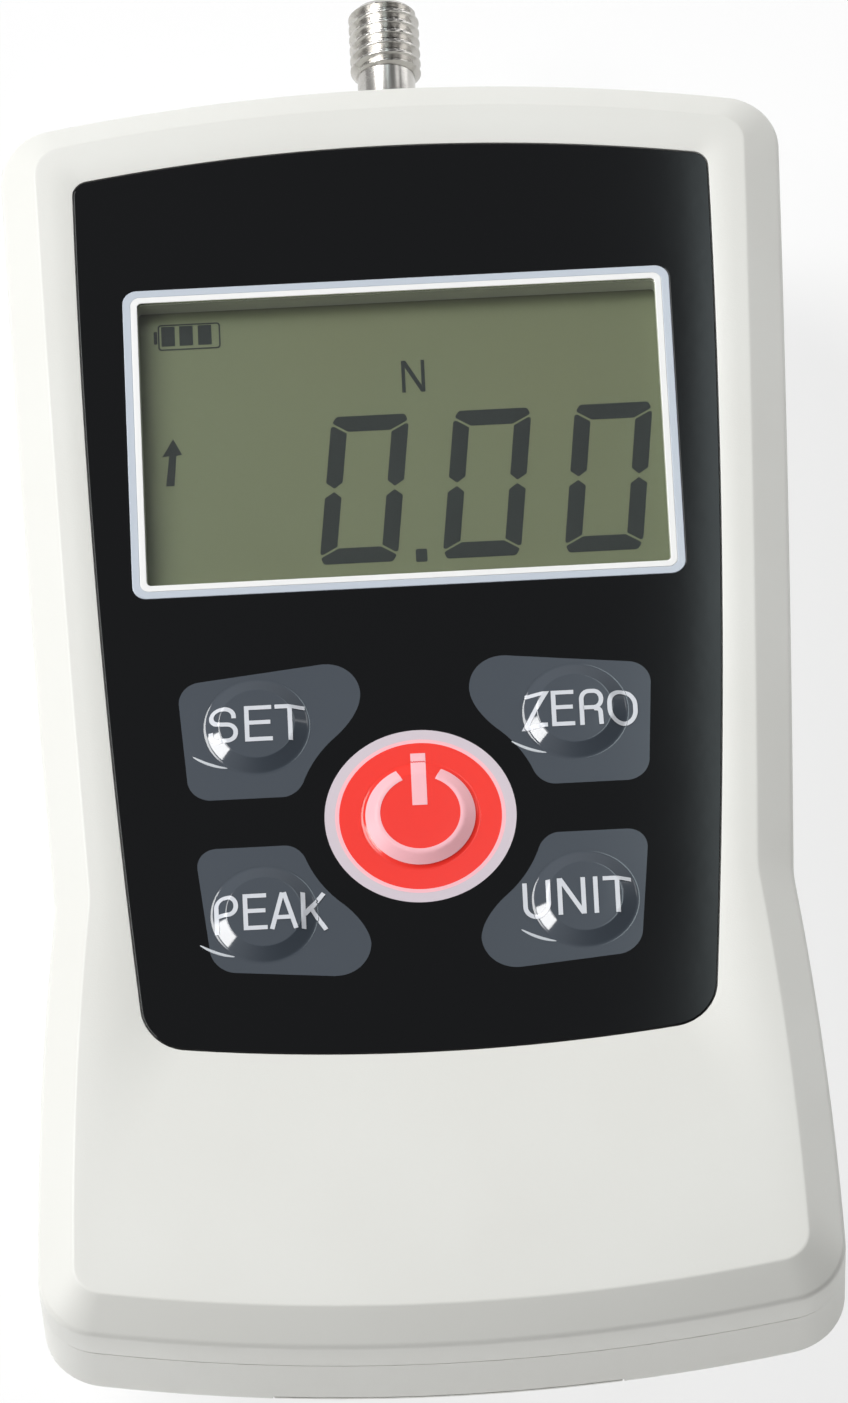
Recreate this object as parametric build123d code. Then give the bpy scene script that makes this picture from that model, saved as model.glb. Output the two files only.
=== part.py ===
from build123d import *
import os

# Handheld force gauge, lying on its back.  x runs across the case, y towards the
# sensing stud, z up from the flat back to the face.  Millimetres throughout.

# ---- case, outside -------------------------------------------------------------
case_thickness = 27.0
case_length = 115.45
stud_protrusion = 12.8
end_arch_radius = 165.0
head_half_width = 32.75
waist_half_width = 30.0
foot_half_width = 32.3
waist_from_foot = 40.2
side_bulge = 0.22
foot_bulge = 0.55
corner_radius = 5.0
waist_radius = 12.0

# ---- case, wall and seam -------------------------------------------------------
wall = 2.2
plate = 2.0
bevel_width = 2.9
bevel_depth = 1.8
bevel_inner_width = 2.2
bevel_inner_depth = 1.4
face_corner_radius = 2.6
face_edge_radius = 0.5
bevel_edge_radius = 0.8
inner_corner_radius = 3.0
seam_depth = 5.4
seam_gap = 0.15
lip_height = 1.0
lip_clearance = 0.08
rim_depth = 11.8
pick_band = 1.0
hull_rows = ((1.0, 0.0), (0.875, 0.9), (0.69, 3.4), (0.5, 5.2), (0.25, 6.4), (0.075, 7.4), (0.0, 9.2))
hull_corner_growth = 0.2

# ---- overlay, window and keys --------------------------------------------------
overlay_thickness = 0.5
overlay_clearance = 0.1
overlay_from_head = 6.7
overlay_length = 83.65
overlay_head_half_width = 26.5
overlay_foot_half_width = 22.9
overlay_arch_radius = 160.0
overlay_bulge = 0.85
overlay_head_corner = 1.3
overlay_foot_corner = 4.0
display_from_head = 33.78
window_width = 45.5
window_height = 28.9
window_corner = 1.2
window_border = 1.2
view_corner = 0.4
power_from_head = 69.3
key_spread = 13.0
key_rise = 8.82
key_drop = 8.22
key_radius = 4.4
power_key_radius = 4.9
key_clearance = 0.1
key_crown = 0.35
key_rim_height = 0.3
key_rim_round = 0.25
key_relief_inset = 0.8
key_relief_depth = 0.3
key_travel = 0.4
key_pocket_margin = 0.25
key_pocket_depth = 0.6

# ---- board, switches and display stack -----------------------------------------
board_thickness = 1.6
board_inset = 4.4
board_from_head = 18.1
board_length = 66.2
board_corner = 1.5
board_to_plate = 2.5
switch_size = 6.0
switch_height = 2.2
plunger_radius = 1.5
plunger_clearance = 0.1
plunger_hole_radius = 1.9
plunger_seat = 0.9
lcd_margin = 1.6
lcd_thickness = 1.7
lcd_gap = 0.1
lcd_wall = 0.8
reflector_thickness = 0.6
strip_width = 1.8
pin_width = 0.4
pin_reach = 0.9
pin_pitch = 1.27
pin_lift = 0.2
processor_from_bay = 15.5
converter_from_board_head = 15.2
sensor_header_from_board_head = 7.2
battery_header_from_bay = 5.6
capacitor_x = 20.0
capacitor_from_board_head = (9.5, 16.5)
capacitor_radius = 2.5
capacitor_height = 6.0
header_width = 9.8
header_depth = 4.6
header_height = 5.0
header_wall = 0.8
post_radius = 1.8
board_screw_radius = 0.85
board_screw_head_radius = 1.7
board_screw_head_height = 1.1
board_post_head_x = 26.2
board_post_head_drop = 3.7
board_post_foot_x = 22.8
board_post_foot_rise = 3.2
screw_clearance = 0.06
hole_clearance = 0.12
counterbore_clearance = 0.24

# ---- force sensor --------------------------------------------------------------
stud_axis_depth = 11.3
thread_radius = 3.0
thread_length = 6.4
thread_chamfer = 0.6
neck_radius = 2.35
neck_length = 3.9
stud_bore_clearance = 0.05
stud_hole_clearance = 0.45
cell_length = 34.0
cell_depth = 8.0
cell_height = 9.6
cell_from_head = 8.5
cell_hole_radius = 2.8
cell_hole_spread = 3.0
cell_arm_centre = 9.0
cell_screw_radius = 1.0
cell_screw_head_radius = 1.9
cell_screw_head_height = 1.6
cell_screw_x = 15.1
cell_screw_pitch = 4.2
cell_screw_rise = 0.6
gauge_width = 4.0
gauge_height = 4.0
gauge_thickness = 0.12
lock_nut_flats = 8.0
lock_nut_thickness = 2.3
bracket_thickness = 3.0
bracket_upright = 4.0
bracket_upright_width = 3.8
bracket_stop_gap = 0.4
bracket_stop_half_width = 4.5
bracket_top_gap = 0.9
bracket_head_reach = 5.6
bracket_screw_reach = 2.6
bracket_screw_x = 9.0
bracket_screw_radius = 1.25
bracket_boss_radius = 3.2
bracket_boss_height = 3.8

# ---- battery and its door ------------------------------------------------------
battery_width = 26.5
battery_height = 17.5
battery_body_length = 46.4
battery_corner = 2.0
terminal_height = 2.1
terminal_spread = 6.35
stud_terminal_radius = 2.9
socket_terminal_radius = 3.9
battery_lift = 0.4
battery_play = 0.3
snap_thickness = 2.4
door_half_width = 14.0
door_gap = 0.15
door_head_gap = 1.2
tongue_reach = 1.1
tongue_clearance = 0.1
tongue_start = 12.0
latch_half_width = 4.0
latch_reach = 1.2
bay_wall = 2.25
bay_wall_drop = 1.5
grip_count = 5
grip_pitch = 2.4
grip_half_width = 7.0
grip_from_foot = 14.0
grip_radius = 0.8
grip_depth = 0.45

# ---- fasteners through the back ------------------------------------------------
insert_spacing_x = 37.0
insert_spacing_y = 60.0
insert_from_head = 28.3
insert_outer_radius = 2.5
insert_bore_radius = 1.65
insert_length = 6.0
insert_boss_radius = 3.7
insert_boss_extra = 1.5
case_screw_radius = 1.2
case_screw_head_radius = 2.2
case_screw_head_height = 1.5
case_screw_sink = 4.6
case_boss_radius = 3.4
head_screw_x = 20.7
head_screw_from_head = 14.1
foot_screw_x = 21.0
foot_screw_from_foot = 14.6

# ---- places worked out from the sizes ------------------------------------------
foot_end_y = -(case_length + stud_protrusion) / 2
head_end_y = foot_end_y + case_length
tip_y = head_end_y + stud_protrusion
waist_y = foot_end_y + waist_from_foot
face_z = case_thickness
bevel_z = face_z - bevel_depth
plate_z = face_z - plate
seam_z = face_z - seam_depth
rim_z = face_z - rim_depth
overlay_z = face_z - overlay_thickness
display_y = head_end_y - display_from_head
power_y = head_end_y - power_from_head
board_top_z = plate_z - board_to_plate
board_z = board_top_z - board_thickness
board_head_y = head_end_y - board_from_head
board_foot_y = board_head_y - board_length
lcd_half_width = window_width / 2 - window_border + lcd_margin
lcd_half_height = window_height / 2 - window_border + lcd_margin
lcd_top_z = plate_z - lcd_gap
lcd_z = lcd_top_z - lcd_thickness
axis_z = face_z - stud_axis_depth
cell_front_y = head_end_y - cell_from_head
cell_back_y = cell_front_y - cell_depth
bracket_z = wall + bracket_boss_height
bracket_head_y = cell_back_y + bracket_head_reach
battery_z = wall + battery_lift
bay_foot_y = foot_end_y + hull_rows[-1][1] + wall + battery_play
battery_head_y = bay_foot_y + battery_body_length
snap_y = battery_head_y + terminal_height
bay_head_y = snap_y + snap_thickness
door_head_y = bay_head_y + door_head_gap
door_top_z = rim_z

key_places = {
    "set": (-key_spread, power_y + key_rise, key_radius),
    "zero": (key_spread, power_y + key_rise, key_radius),
    "power": (0.0, power_y, power_key_radius),
    "peak": (-key_spread, power_y - key_drop, key_radius),
    "unit": (key_spread, power_y - key_drop, key_radius),
}
chip_sizes = {
    "processor_chip": (-8.0, bay_head_y + processor_from_bay, 12.0, 12.0, 1.6),
    "converter_chip": (8.0, board_head_y - converter_from_board_head, 6.5, 5.3, 1.5),
}
header_places = {
    "sensor_header": (4.0, board_head_y - sensor_header_from_board_head),
    "battery_header": (15.5, bay_head_y + battery_header_from_bay),
}
capacitor_places = [
    (side * capacitor_x, board_head_y - down)
    for down in capacitor_from_board_head
    for side in (-1, 1)
]
case_screw_places = [
    (side * x, y)
    for x, y in (
        (head_screw_x, head_end_y - head_screw_from_head),
        (foot_screw_x, foot_end_y + foot_screw_from_foot),
    )
    for side in (-1, 1)
]
board_post_places = [
    (side * x, y)
    for x, y in (
        (board_post_head_x, board_head_y - board_post_head_drop),
        (board_post_foot_x, board_foot_y + board_post_foot_rise),
    )
    for side in (-1, 1)
]
insert_places = [
    (side * insert_spacing_x / 2, head_end_y - insert_from_head - row * insert_spacing_y)
    for row in (0, 1)
    for side in (-1, 1)
]
bracket_screw_places = [
    (side * bracket_screw_x, y)
    for y in (cell_back_y - bracket_upright / 2, cell_back_y + bracket_screw_reach)
    for side in (-1, 1)
]
cell_screw_places = [
    (side * cell_screw_x, axis_z + cell_screw_rise + shift * cell_screw_pitch / 2)
    for side in (-1, 1)
    for shift in (-1, 1)
]


# ---- helpers -------------------------------------------------------------------
def block(x0, x1, y0, y1, z0, z1):
    """Box between two opposite corners."""
    return Pos((x0 + x1) / 2, (y0 + y1) / 2, (z0 + z1) / 2) * Box(x1 - x0, y1 - y0, z1 - z0)


def post(x, y, z0, z1, radius):
    """Upright round bar."""
    return Pos(x, y, (z0 + z1) / 2) * Cylinder(radius, z1 - z0)


def rod(x, z, y0, y1, radius):
    """Round bar along y."""
    return Pos(x, (y0 + y1) / 2, z) * Rot(90, 0, 0) * Cylinder(radius, y1 - y0)


def slab(face, z0, z1):
    """Plan outline raised between two heights."""
    return extrude(Pos(0, 0, z0) * face, amount=z1 - z0, dir=(0, 0, 1))


def arch_drop(radius, x):
    """How far an arc crowned at x = 0 has fallen away at x."""
    return radius - (radius * radius - x * x) ** 0.5


def bulged(start, end, bulge):
    """Arc from start to end that swells outwards, away from the y axis."""
    middle = ((start[0] + end[0]) / 2, (start[1] + end[1]) / 2)
    outward = bulge if middle[0] > 0 else -bulge
    return ThreePointArc(start, (middle[0] + outward, middle[1]), end)


def vertices_near(face, y):
    """Corners of a plan outline at one place along the case."""
    return face.vertices().filter_by_position(Axis.Y, y - pick_band, y + pick_band)


def case_outline(inset, corner):
    """Plan outline of the case drawn in by inset, its corners rounded."""
    head_x = head_half_width - inset
    waist_x = waist_half_width - inset
    foot_x = foot_half_width - inset
    head_crown = head_end_y - inset
    foot_crown = foot_end_y + inset
    head_y = head_crown - arch_drop(end_arch_radius, head_x)
    foot_y = foot_crown + arch_drop(end_arch_radius, foot_x)
    face = make_face(
        [
            ThreePointArc((-head_x, head_y), (0, head_crown), (head_x, head_y)),
            bulged((head_x, head_y), (waist_x, waist_y), side_bulge),
            bulged((waist_x, waist_y), (foot_x, foot_y), foot_bulge),
            ThreePointArc((foot_x, foot_y), (0, foot_crown), (-foot_x, foot_y)),
            bulged((-foot_x, foot_y), (-waist_x, waist_y), foot_bulge),
            bulged((-waist_x, waist_y), (-head_x, head_y), side_bulge),
        ]
    )
    face = fillet(vertices_near(face, head_y), corner)
    face = fillet(vertices_near(face, foot_y), corner)
    return fillet(vertices_near(face, waist_y), waist_radius + inset)


def overlay_outline(margin):
    """Plan outline of the overlay, grown by margin."""
    head_crown = head_end_y - overlay_from_head + margin
    foot_crown = head_end_y - overlay_from_head - overlay_length - margin
    head_x = overlay_head_half_width + margin
    foot_x = overlay_foot_half_width + margin
    head_y = head_crown - arch_drop(overlay_arch_radius, head_x)
    foot_y = foot_crown + arch_drop(overlay_arch_radius, foot_x)
    face = make_face(
        [
            ThreePointArc((-head_x, head_y), (0, head_crown), (head_x, head_y)),
            bulged((head_x, head_y), (foot_x, foot_y), overlay_bulge),
            ThreePointArc((foot_x, foot_y), (0, foot_crown), (-foot_x, foot_y)),
            bulged((-foot_x, foot_y), (-head_x, head_y), overlay_bulge),
        ]
    )
    face = fillet(vertices_near(face, head_y), overlay_head_corner + margin)
    return fillet(vertices_near(face, foot_y), overlay_foot_corner + margin)


def display_plan(margin, corner):
    """Rounded rectangle about the display centre, the window's size plus margin all round."""
    width = window_width + 2 * margin
    height = window_height + 2 * margin
    return Pos(0, display_y) * RectangleRounded(width, height, corner)


def level_edges(body, level):
    """Edges that lie flat at one height."""
    return body.edges().filter_by_position(Axis.Z, level, level)


def hull_section(height, draw, inset, corner, floor):
    """One section of the hull, at a share of the way up from its floor to the rim."""
    level = floor + (rim_z - floor) * height
    return Pos(0, 0, level) * case_outline(inset + draw, corner + hull_corner_growth * draw)


def hull_outside():
    """Outside of the rear shell below the rim: smooth sections drawn in towards the back."""
    return loft([hull_section(height, draw, 0, corner_radius, 0) for height, draw in hull_rows])


def hull_inside():
    """Inside of the same tub, with flat runs between every second section."""
    sections = [
        hull_section(height, draw, wall, inner_corner_radius, wall) for height, draw in hull_rows[::2]
    ]
    return loft(sections, ruled=True)


# ---- the case ------------------------------------------------------------------
def front_shell():
    """Shallow cover: bevelled rim, face plate, overlay recess, key pockets and posts."""
    body = slab(case_outline(0, corner_radius), seam_z + seam_gap, bevel_z)
    body += loft(
        [
            Pos(0, 0, bevel_z) * case_outline(0, corner_radius),
            Pos(0, 0, face_z) * case_outline(bevel_width, face_corner_radius),
        ],
        ruled=True,
    )
    body = fillet(level_edges(body, face_z), face_edge_radius)
    body = fillet(level_edges(body, bevel_z), bevel_edge_radius)
    room_z = plate_z - bevel_inner_depth
    room_in = wall + bevel_inner_width
    room = slab(case_outline(wall, inner_corner_radius), seam_z, room_z)
    room += loft(
        [
            Pos(0, 0, room_z) * case_outline(wall, inner_corner_radius),
            Pos(0, 0, plate_z) * case_outline(room_in, inner_corner_radius),
        ],
        ruled=True,
    )
    body -= room
    rebate_top = seam_z + lip_height + seam_gap
    body -= slab(case_outline(wall / 2, inner_corner_radius + wall / 2), seam_z, rebate_top)
    for x, y in case_screw_places:
        body += post(x, y, seam_z, plate_z, case_boss_radius)
        body -= post(x, y, seam_z, plate_z - screw_clearance, case_screw_radius + screw_clearance)
    for x, y in board_post_places:
        body += post(x, y, board_top_z, plate_z, post_radius)
        body -= post(x, y, board_top_z, plate_z - screw_clearance, board_screw_radius + screw_clearance)
    body -= slab(overlay_outline(overlay_clearance), overlay_z, face_z)
    body -= slab(display_plan(-window_border, view_corner), plate_z, face_z)
    for x, y, radius in key_places.values():
        body -= post(x, y, overlay_z - key_pocket_depth, face_z, radius + key_pocket_margin)
        body -= post(x, y, plate_z, face_z, plunger_hole_radius)
    return body


def bay_ribs():
    """Battery bay: two side walls and the wall at its head."""
    inner = door_half_width + door_gap
    outer = inner + bay_wall
    top = board_z - bay_wall_drop
    ribs = block(-outer, outer, bay_head_y, bay_head_y + bay_wall, wall, top)
    for side in (-1, 1):
        edges = sorted((side * inner, side * outer))
        ribs += block(edges[0], edges[1], bay_foot_y, bay_head_y + bay_wall, wall, top)
    return ribs


def door_zone(gap):
    """Space under the battery that the door closes, drawn in by gap."""
    reach = door_half_width - gap
    return block(-reach, reach, foot_end_y - wall, door_head_y - gap, -wall, door_top_z - gap)


def tongues(start_y, clearance):
    """The door's side tongues and latch, grown by clearance, in the upper half of the floor."""
    low = wall / 2 + tongue_clearance - clearance
    high = wall - tongue_clearance + clearance
    side_tip = door_half_width + tongue_reach + clearance
    latch_tip = latch_half_width + clearance
    body = block(-side_tip, side_tip, start_y, door_head_y - door_gap, low, high)
    return body + block(-latch_tip, latch_tip, start_y, door_head_y + latch_reach + clearance, low, high)


def rear_shell():
    """Deep tub with a rim, bosses, battery bay and the hole for the stud."""
    body = slab(case_outline(0, corner_radius), rim_z, seam_z) + hull_outside()
    room = slab(case_outline(wall, inner_corner_radius), rim_z, seam_z) + hull_inside()
    solid = body
    body -= room
    lip_top = seam_z + lip_height
    lip_plan = case_outline(wall / 2 + lip_clearance, inner_corner_radius + wall / 2)
    body += slab(lip_plan, rim_z, lip_top) - slab(case_outline(wall, inner_corner_radius), rim_z, lip_top)
    inside = bay_ribs()
    for x, y in case_screw_places:
        inside += post(x, y, 0, seam_z, case_boss_radius)
    for x, y in insert_places:
        inside += post(x, y, 0, insert_length + insert_boss_extra, insert_boss_radius)
    for x, y in bracket_screw_places:
        inside += post(x, y, 0, wall + bracket_boss_height, bracket_boss_radius)
    body += inside & solid
    for x, y in case_screw_places:
        body -= post(x, y, -wall, seam_z, case_screw_radius + hole_clearance)
        body -= post(x, y, -wall, case_screw_sink, case_screw_head_radius + counterbore_clearance)
    for x, y in insert_places:
        body -= post(x, y, -wall, insert_length + insert_boss_extra / 2, insert_outer_radius)
    for x, y in bracket_screw_places:
        body -= post(x, y, wall, wall + bracket_boss_height, bracket_screw_radius + screw_clearance)
    hole = thread_radius + stud_hole_clearance
    body -= rod(0, axis_z, cell_front_y, tip_y, hole)
    body -= door_zone(-door_gap)
    return body - tongues(foot_end_y, tongue_clearance)


def battery_door():
    """Sliding door cut from the same tub, with side tongues, a latch and grip grooves."""
    body = (hull_outside() - hull_inside()) & door_zone(0)
    body += tongues(foot_end_y + tongue_start, 0)
    for step in range(grip_count):
        y = foot_end_y + grip_from_foot + step * grip_pitch
        depth = grip_radius - grip_depth
        groove = Pos(0, y, -depth) * Rot(0, 90, 0) * Cylinder(grip_radius, 2 * grip_half_width)
        body -= groove
    return body


def graphic_overlay():
    """Face sheet with its window opening and five key openings."""
    body = slab(overlay_outline(0), overlay_z, face_z)
    body -= slab(display_plan(overlay_clearance, window_corner + overlay_clearance), overlay_z, face_z)
    for x, y, radius in key_places.values():
        body -= post(x, y, overlay_z, face_z, radius + key_clearance)
    return body


def display_window():
    """Clear window let into the overlay, resting on the shell round the view opening."""
    return slab(display_plan(0, window_corner), overlay_z, face_z)


# ---- keys and switches ---------------------------------------------------------
def key_cap(x, y, radius):
    """Cap with a short rounded rim, a low crown and a relieved underside."""
    edge_z = face_z + key_rim_height
    crown_radius = (radius**2 + key_crown**2) / (2 * key_crown)
    ball = Pos(x, y, edge_z + key_crown - crown_radius) * Sphere(crown_radius)
    body = post(x, y, overlay_z, edge_z + key_crown, radius) & ball
    body = fillet(level_edges(body, edge_z), key_rim_round)
    relief_z = overlay_z + key_relief_depth
    relief = post(x, y, overlay_z, relief_z, radius - key_relief_inset)
    relief -= post(x, y, overlay_z, relief_z, plunger_radius + key_relief_depth)
    return body - relief


def key_plunger(x, y):
    """Round plunger from inside the switch up to the cap."""
    return post(x, y, board_top_z + plunger_seat, overlay_z, plunger_radius)


def switch_body(x, y):
    """Square switch housing with a blind bore for the plunger."""
    half = switch_size / 2
    top = board_top_z + switch_height
    body = block(x - half, x + half, y - half, y + half, board_top_z, top)
    bore_floor = board_top_z + plunger_seat - key_travel - plunger_clearance
    return body - post(x, y, bore_floor, top, plunger_radius + plunger_clearance)


# ---- board and display stack ---------------------------------------------------
def main_board():
    """Circuit board that follows the case walls, drilled for its four screws."""
    plan = case_outline(board_inset, board_corner)
    body = slab(plan, board_z, board_top_z)
    body &= block(-head_half_width, head_half_width, board_foot_y, board_head_y, board_z, board_top_z)
    for x, y in board_post_places:
        body -= post(x, y, board_z, board_top_z, board_screw_radius + hole_clearance)
    return body


def lcd_bezel():
    """Open frame that holds the display glass down on the board."""
    inner_x = lcd_half_width + lcd_gap
    inner_y = lcd_half_height + lcd_gap
    outer_x = inner_x + lcd_wall
    outer_y = inner_y + lcd_wall
    body = block(-outer_x, outer_x, display_y - outer_y, display_y + outer_y, board_top_z, lcd_top_z)
    return body - block(-inner_x, inner_x, display_y - inner_y, display_y + inner_y, board_top_z, lcd_top_z)


def lcd_glass():
    """Display cell: front glass, and a back glass that stops short of the contact edges."""
    half = lcd_thickness / 2
    low_y = display_y - lcd_half_height
    high_y = display_y + lcd_half_height
    front = block(-lcd_half_width, lcd_half_width, low_y, high_y, lcd_z + half, lcd_top_z)
    back = block(
        -lcd_half_width, lcd_half_width, low_y + strip_width, high_y - strip_width, lcd_z, lcd_z + half
    )
    return front + back


def lcd_reflector():
    """White light guide behind the display cell."""
    x = lcd_half_width - lcd_wall
    y = lcd_half_height - 2 * strip_width
    top = board_top_z + reflector_thickness
    return block(-x, x, display_y - y, display_y + y, board_top_z, top)


def lcd_strips():
    """Two elastomer strips that join the glass contacts to the board."""
    x = lcd_half_width - lcd_wall
    width = strip_width - 2 * lcd_gap
    strips = []
    for side in (-1, 1):
        edge = display_y + side * (lcd_half_height - lcd_gap)
        low, high = sorted((edge, edge - side * width))
        strips.append(block(-x, x, low, high, board_top_z, lcd_z + lcd_thickness / 2))
    return Compound(children=strips)


def chip(name):
    """Flat chip with pins along two sides, on the underside of the board."""
    x, y, width, depth, height = chip_sizes[name]
    top = board_z - pin_lift
    body = block(x - width / 2, x + width / 2, y - depth / 2, y + depth / 2, board_z - height, top)
    count = int((width - pin_pitch) // pin_pitch)
    for step in range(count):
        px = x + (step - (count - 1) / 2) * pin_pitch
        for side in (-1, 1):
            root = y + side * (depth / 2 - pin_width)
            tip = y + side * (depth / 2 + pin_reach)
            low, high = sorted((root, tip))
            body += block(px - pin_width / 2, px + pin_width / 2, low, high, top - pin_lift, board_z)
    return body


def capacitors():
    """Electrolytic capacitors on the underside of the board."""
    low = board_z - capacitor_height
    return Compound(children=[post(x, y, low, board_z, capacitor_radius) for x, y in capacitor_places])


def header(name):
    """Open wire header on the underside of the board."""
    x, y = header_places[name]
    half_x = header_width / 2
    half_y = header_depth / 2
    low = board_z - header_height
    body = block(x - half_x, x + half_x, y - half_y, y + half_y, low, board_z)
    return body - block(
        x - half_x + header_wall,
        x + half_x - header_wall,
        y - half_y + header_wall,
        y + half_y - header_wall,
        low,
        board_z - header_wall,
    )


# ---- force sensor --------------------------------------------------------------
def sensor_stud():
    """Turned steel stud: shank held in the sensor, neck, and the threaded tip with lead-in."""
    thread_start = tip_y - thread_length
    neck_start = thread_start - neck_length
    body = rod(0, axis_z, cell_back_y, neck_start, thread_radius)
    body += rod(0, axis_z, neck_start, thread_start, neck_radius)
    tip = rod(0, axis_z, thread_start, tip_y, thread_radius)
    tip = chamfer(tip.edges().group_by(Axis.Y)[-1], thread_chamfer)
    tip = chamfer(tip.edges().group_by(Axis.Y)[0], thread_chamfer)
    return body + tip


def lock_nut():
    """Thin hexagon nut that locks the stud against the sensor hub."""
    across = RegularPolygon(lock_nut_flats / 2, 6, major_radius=False)
    body = extrude(across, amount=lock_nut_thickness)
    body = Pos(0, cell_front_y + lock_nut_thickness, axis_z) * Rot(90, 0, 0) * body
    bore = thread_radius + stud_bore_clearance
    return body - rod(0, axis_z, cell_front_y, cell_front_y + lock_nut_thickness, bore)


def load_cell():
    """Double-ended bending beam: a hub between two pierced arms, held at both ends."""
    half = cell_length / 2
    low = axis_z - cell_height / 2
    high = axis_z + cell_height / 2
    body = block(-half, half, cell_back_y, cell_front_y, low, high)
    mid_y = (cell_back_y + cell_front_y) / 2
    for side in (-1, 1):
        for shift in (-1, 1):
            x = side * cell_arm_centre + shift * cell_hole_spread / 2
            body -= post(x, mid_y, low, high, cell_hole_radius)
    for x, z in cell_screw_places:
        body -= rod(x, z, cell_back_y, cell_front_y, cell_screw_radius + screw_clearance)
    return body - rod(0, axis_z, cell_back_y, cell_front_y, thread_radius + stud_bore_clearance)


def strain_gauges():
    """Four foil gauges, one over each thin place of the arms."""
    low_z = axis_z - gauge_height / 2
    high_z = axis_z + gauge_height / 2
    foils = []
    for side in (-1, 1):
        x = side * cell_arm_centre
        low_x = x - gauge_width / 2
        high_x = x + gauge_width / 2
        for face_y, way in ((cell_front_y, 1), (cell_back_y, -1)):
            edges = sorted((face_y, face_y + way * gauge_thickness))
            foils.append(block(low_x, high_x, edges[0], edges[1], low_z, high_z))
    return Compound(children=foils)


def cell_screws():
    """Socket screws that clamp the sensor's ends to the bracket."""
    screws = []
    back = cell_back_y - bracket_upright
    for x, z in cell_screw_places:
        shank = rod(x, z, back, cell_front_y, cell_screw_radius)
        head = rod(x, z, cell_front_y, cell_front_y + cell_screw_head_height, cell_screw_head_radius)
        screws.append(shank + head)
    return Compound(children=screws)


def sensor_bracket():
    """Base plate with two uprights for the sensor and a stop behind the hub."""
    half = cell_length / 2
    back = cell_back_y - bracket_upright
    top = board_z - bracket_top_gap
    body = block(-half, half, back, bracket_head_y, bracket_z, bracket_z + bracket_thickness)
    for side in (-1, 1):
        edges = sorted((side * half, side * (half - bracket_upright_width)))
        body += block(edges[0], edges[1], back, cell_back_y, bracket_z, top)
    stop = bracket_stop_half_width
    body += block(-stop, stop, back, cell_back_y - bracket_stop_gap, bracket_z, top)
    for x, z in cell_screw_places:
        body -= rod(x, z, back, cell_back_y, cell_screw_radius + screw_clearance)
    for x, y in bracket_screw_places:
        body -= post(x, y, bracket_z, bracket_z + bracket_thickness, bracket_screw_radius + screw_clearance)
    return body


# ---- fasteners -----------------------------------------------------------------
def screw(x, y, head, neck, tip, head_radius, radius):
    """Plain upright screw: its head from head to neck, its shank from neck to tip."""
    cap = post(x, y, min(head, neck), max(head, neck), head_radius)
    return cap + post(x, y, min(neck, tip), max(neck, tip), radius)


def case_screws():
    """Four long screws through the rear shell into the front shell's bosses."""
    head = case_screw_sink - case_screw_head_height
    tip = plate_z - hole_clearance
    screws = [
        screw(x, y, head, case_screw_sink, tip, case_screw_head_radius, case_screw_radius)
        for x, y in case_screw_places
    ]
    return Compound(children=screws)


def board_screws():
    """Four screws that hold the board to the front shell's posts."""
    head = board_z - board_screw_head_height
    tip = plate_z - hole_clearance
    screws = [
        screw(x, y, head, board_z, tip, board_screw_head_radius, board_screw_radius)
        for x, y in board_post_places
    ]
    return Compound(children=screws)


def bracket_screws():
    """Four screws that hold the sensor bracket down on its bosses."""
    top = bracket_z + bracket_thickness
    head = top + cell_screw_head_height
    screws = [
        screw(x, y, head, top, wall, cell_screw_head_radius, bracket_screw_radius)
        for x, y in bracket_screw_places
    ]
    return Compound(children=screws)


def mount_inserts():
    """Four threaded inserts, flush with the back."""
    inserts = []
    for x, y in insert_places:
        body = post(x, y, 0, insert_length, insert_outer_radius)
        inserts.append(body - post(x, y, 0, insert_length, insert_bore_radius))
    return Compound(children=inserts)


# ---- battery -------------------------------------------------------------------
def battery():
    """Block battery with two snap terminals on its head."""
    half = battery_width / 2
    mid_z = battery_z + battery_height / 2
    body = block(-half, half, bay_foot_y, battery_head_y, battery_z, battery_z + battery_height)
    body = fillet(body.edges().filter_by(Axis.Y), battery_corner)
    for x, radius in ((-terminal_spread, stud_terminal_radius), (terminal_spread, socket_terminal_radius)):
        body += rod(x, mid_z, battery_head_y, snap_y, radius)
    return body


def battery_snap():
    """Connector plate at the head of the bay, with two cups that face the terminals."""
    half = battery_width / 2
    low = battery_z + battery_corner
    high = battery_z + battery_height - battery_corner
    return block(-half, half, snap_y, snap_y + snap_thickness, low, high)


# ---- writing -------------------------------------------------------------------
def write(name, shape):
    """Write one sub-part to its STEP file."""
    export_step(shape, f"parts/{name}.step")


def main():
    """Build every sub-part and write it."""
    os.makedirs("parts", exist_ok=True)
    write("front_shell", front_shell())
    write("rear_shell", rear_shell())
    write("battery_door", battery_door())
    write("graphic_overlay", graphic_overlay())
    write("display_window", display_window())
    for name, (x, y, radius) in key_places.items():
        write(f"{name}_key", key_cap(x, y, radius))
        write(f"{name}_plunger", key_plunger(x, y))
    write("key_switches", Compound(children=[switch_body(x, y) for x, y, radius in key_places.values()]))
    write("main_board", main_board())
    write("lcd_bezel", lcd_bezel())
    write("lcd_glass", lcd_glass())
    write("lcd_reflector", lcd_reflector())
    write("lcd_strips", lcd_strips())
    for name in chip_sizes:
        write(name, chip(name))
    write("capacitors", capacitors())
    for name in header_places:
        write(name, header(name))
    write("sensor_stud", sensor_stud())
    write("stud_lock_nut", lock_nut())
    write("load_cell", load_cell())
    write("strain_gauges", strain_gauges())
    write("sensor_bracket", sensor_bracket())
    write("cell_screws", cell_screws())
    write("bracket_screws", bracket_screws())
    write("board_screws", board_screws())
    write("case_screws", case_screws())
    write("mount_inserts", mount_inserts())
    write("battery", battery())
    write("battery_snap", battery_snap())


main()
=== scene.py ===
"""Looks of a handheld force gauge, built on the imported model's own frame."""

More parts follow.
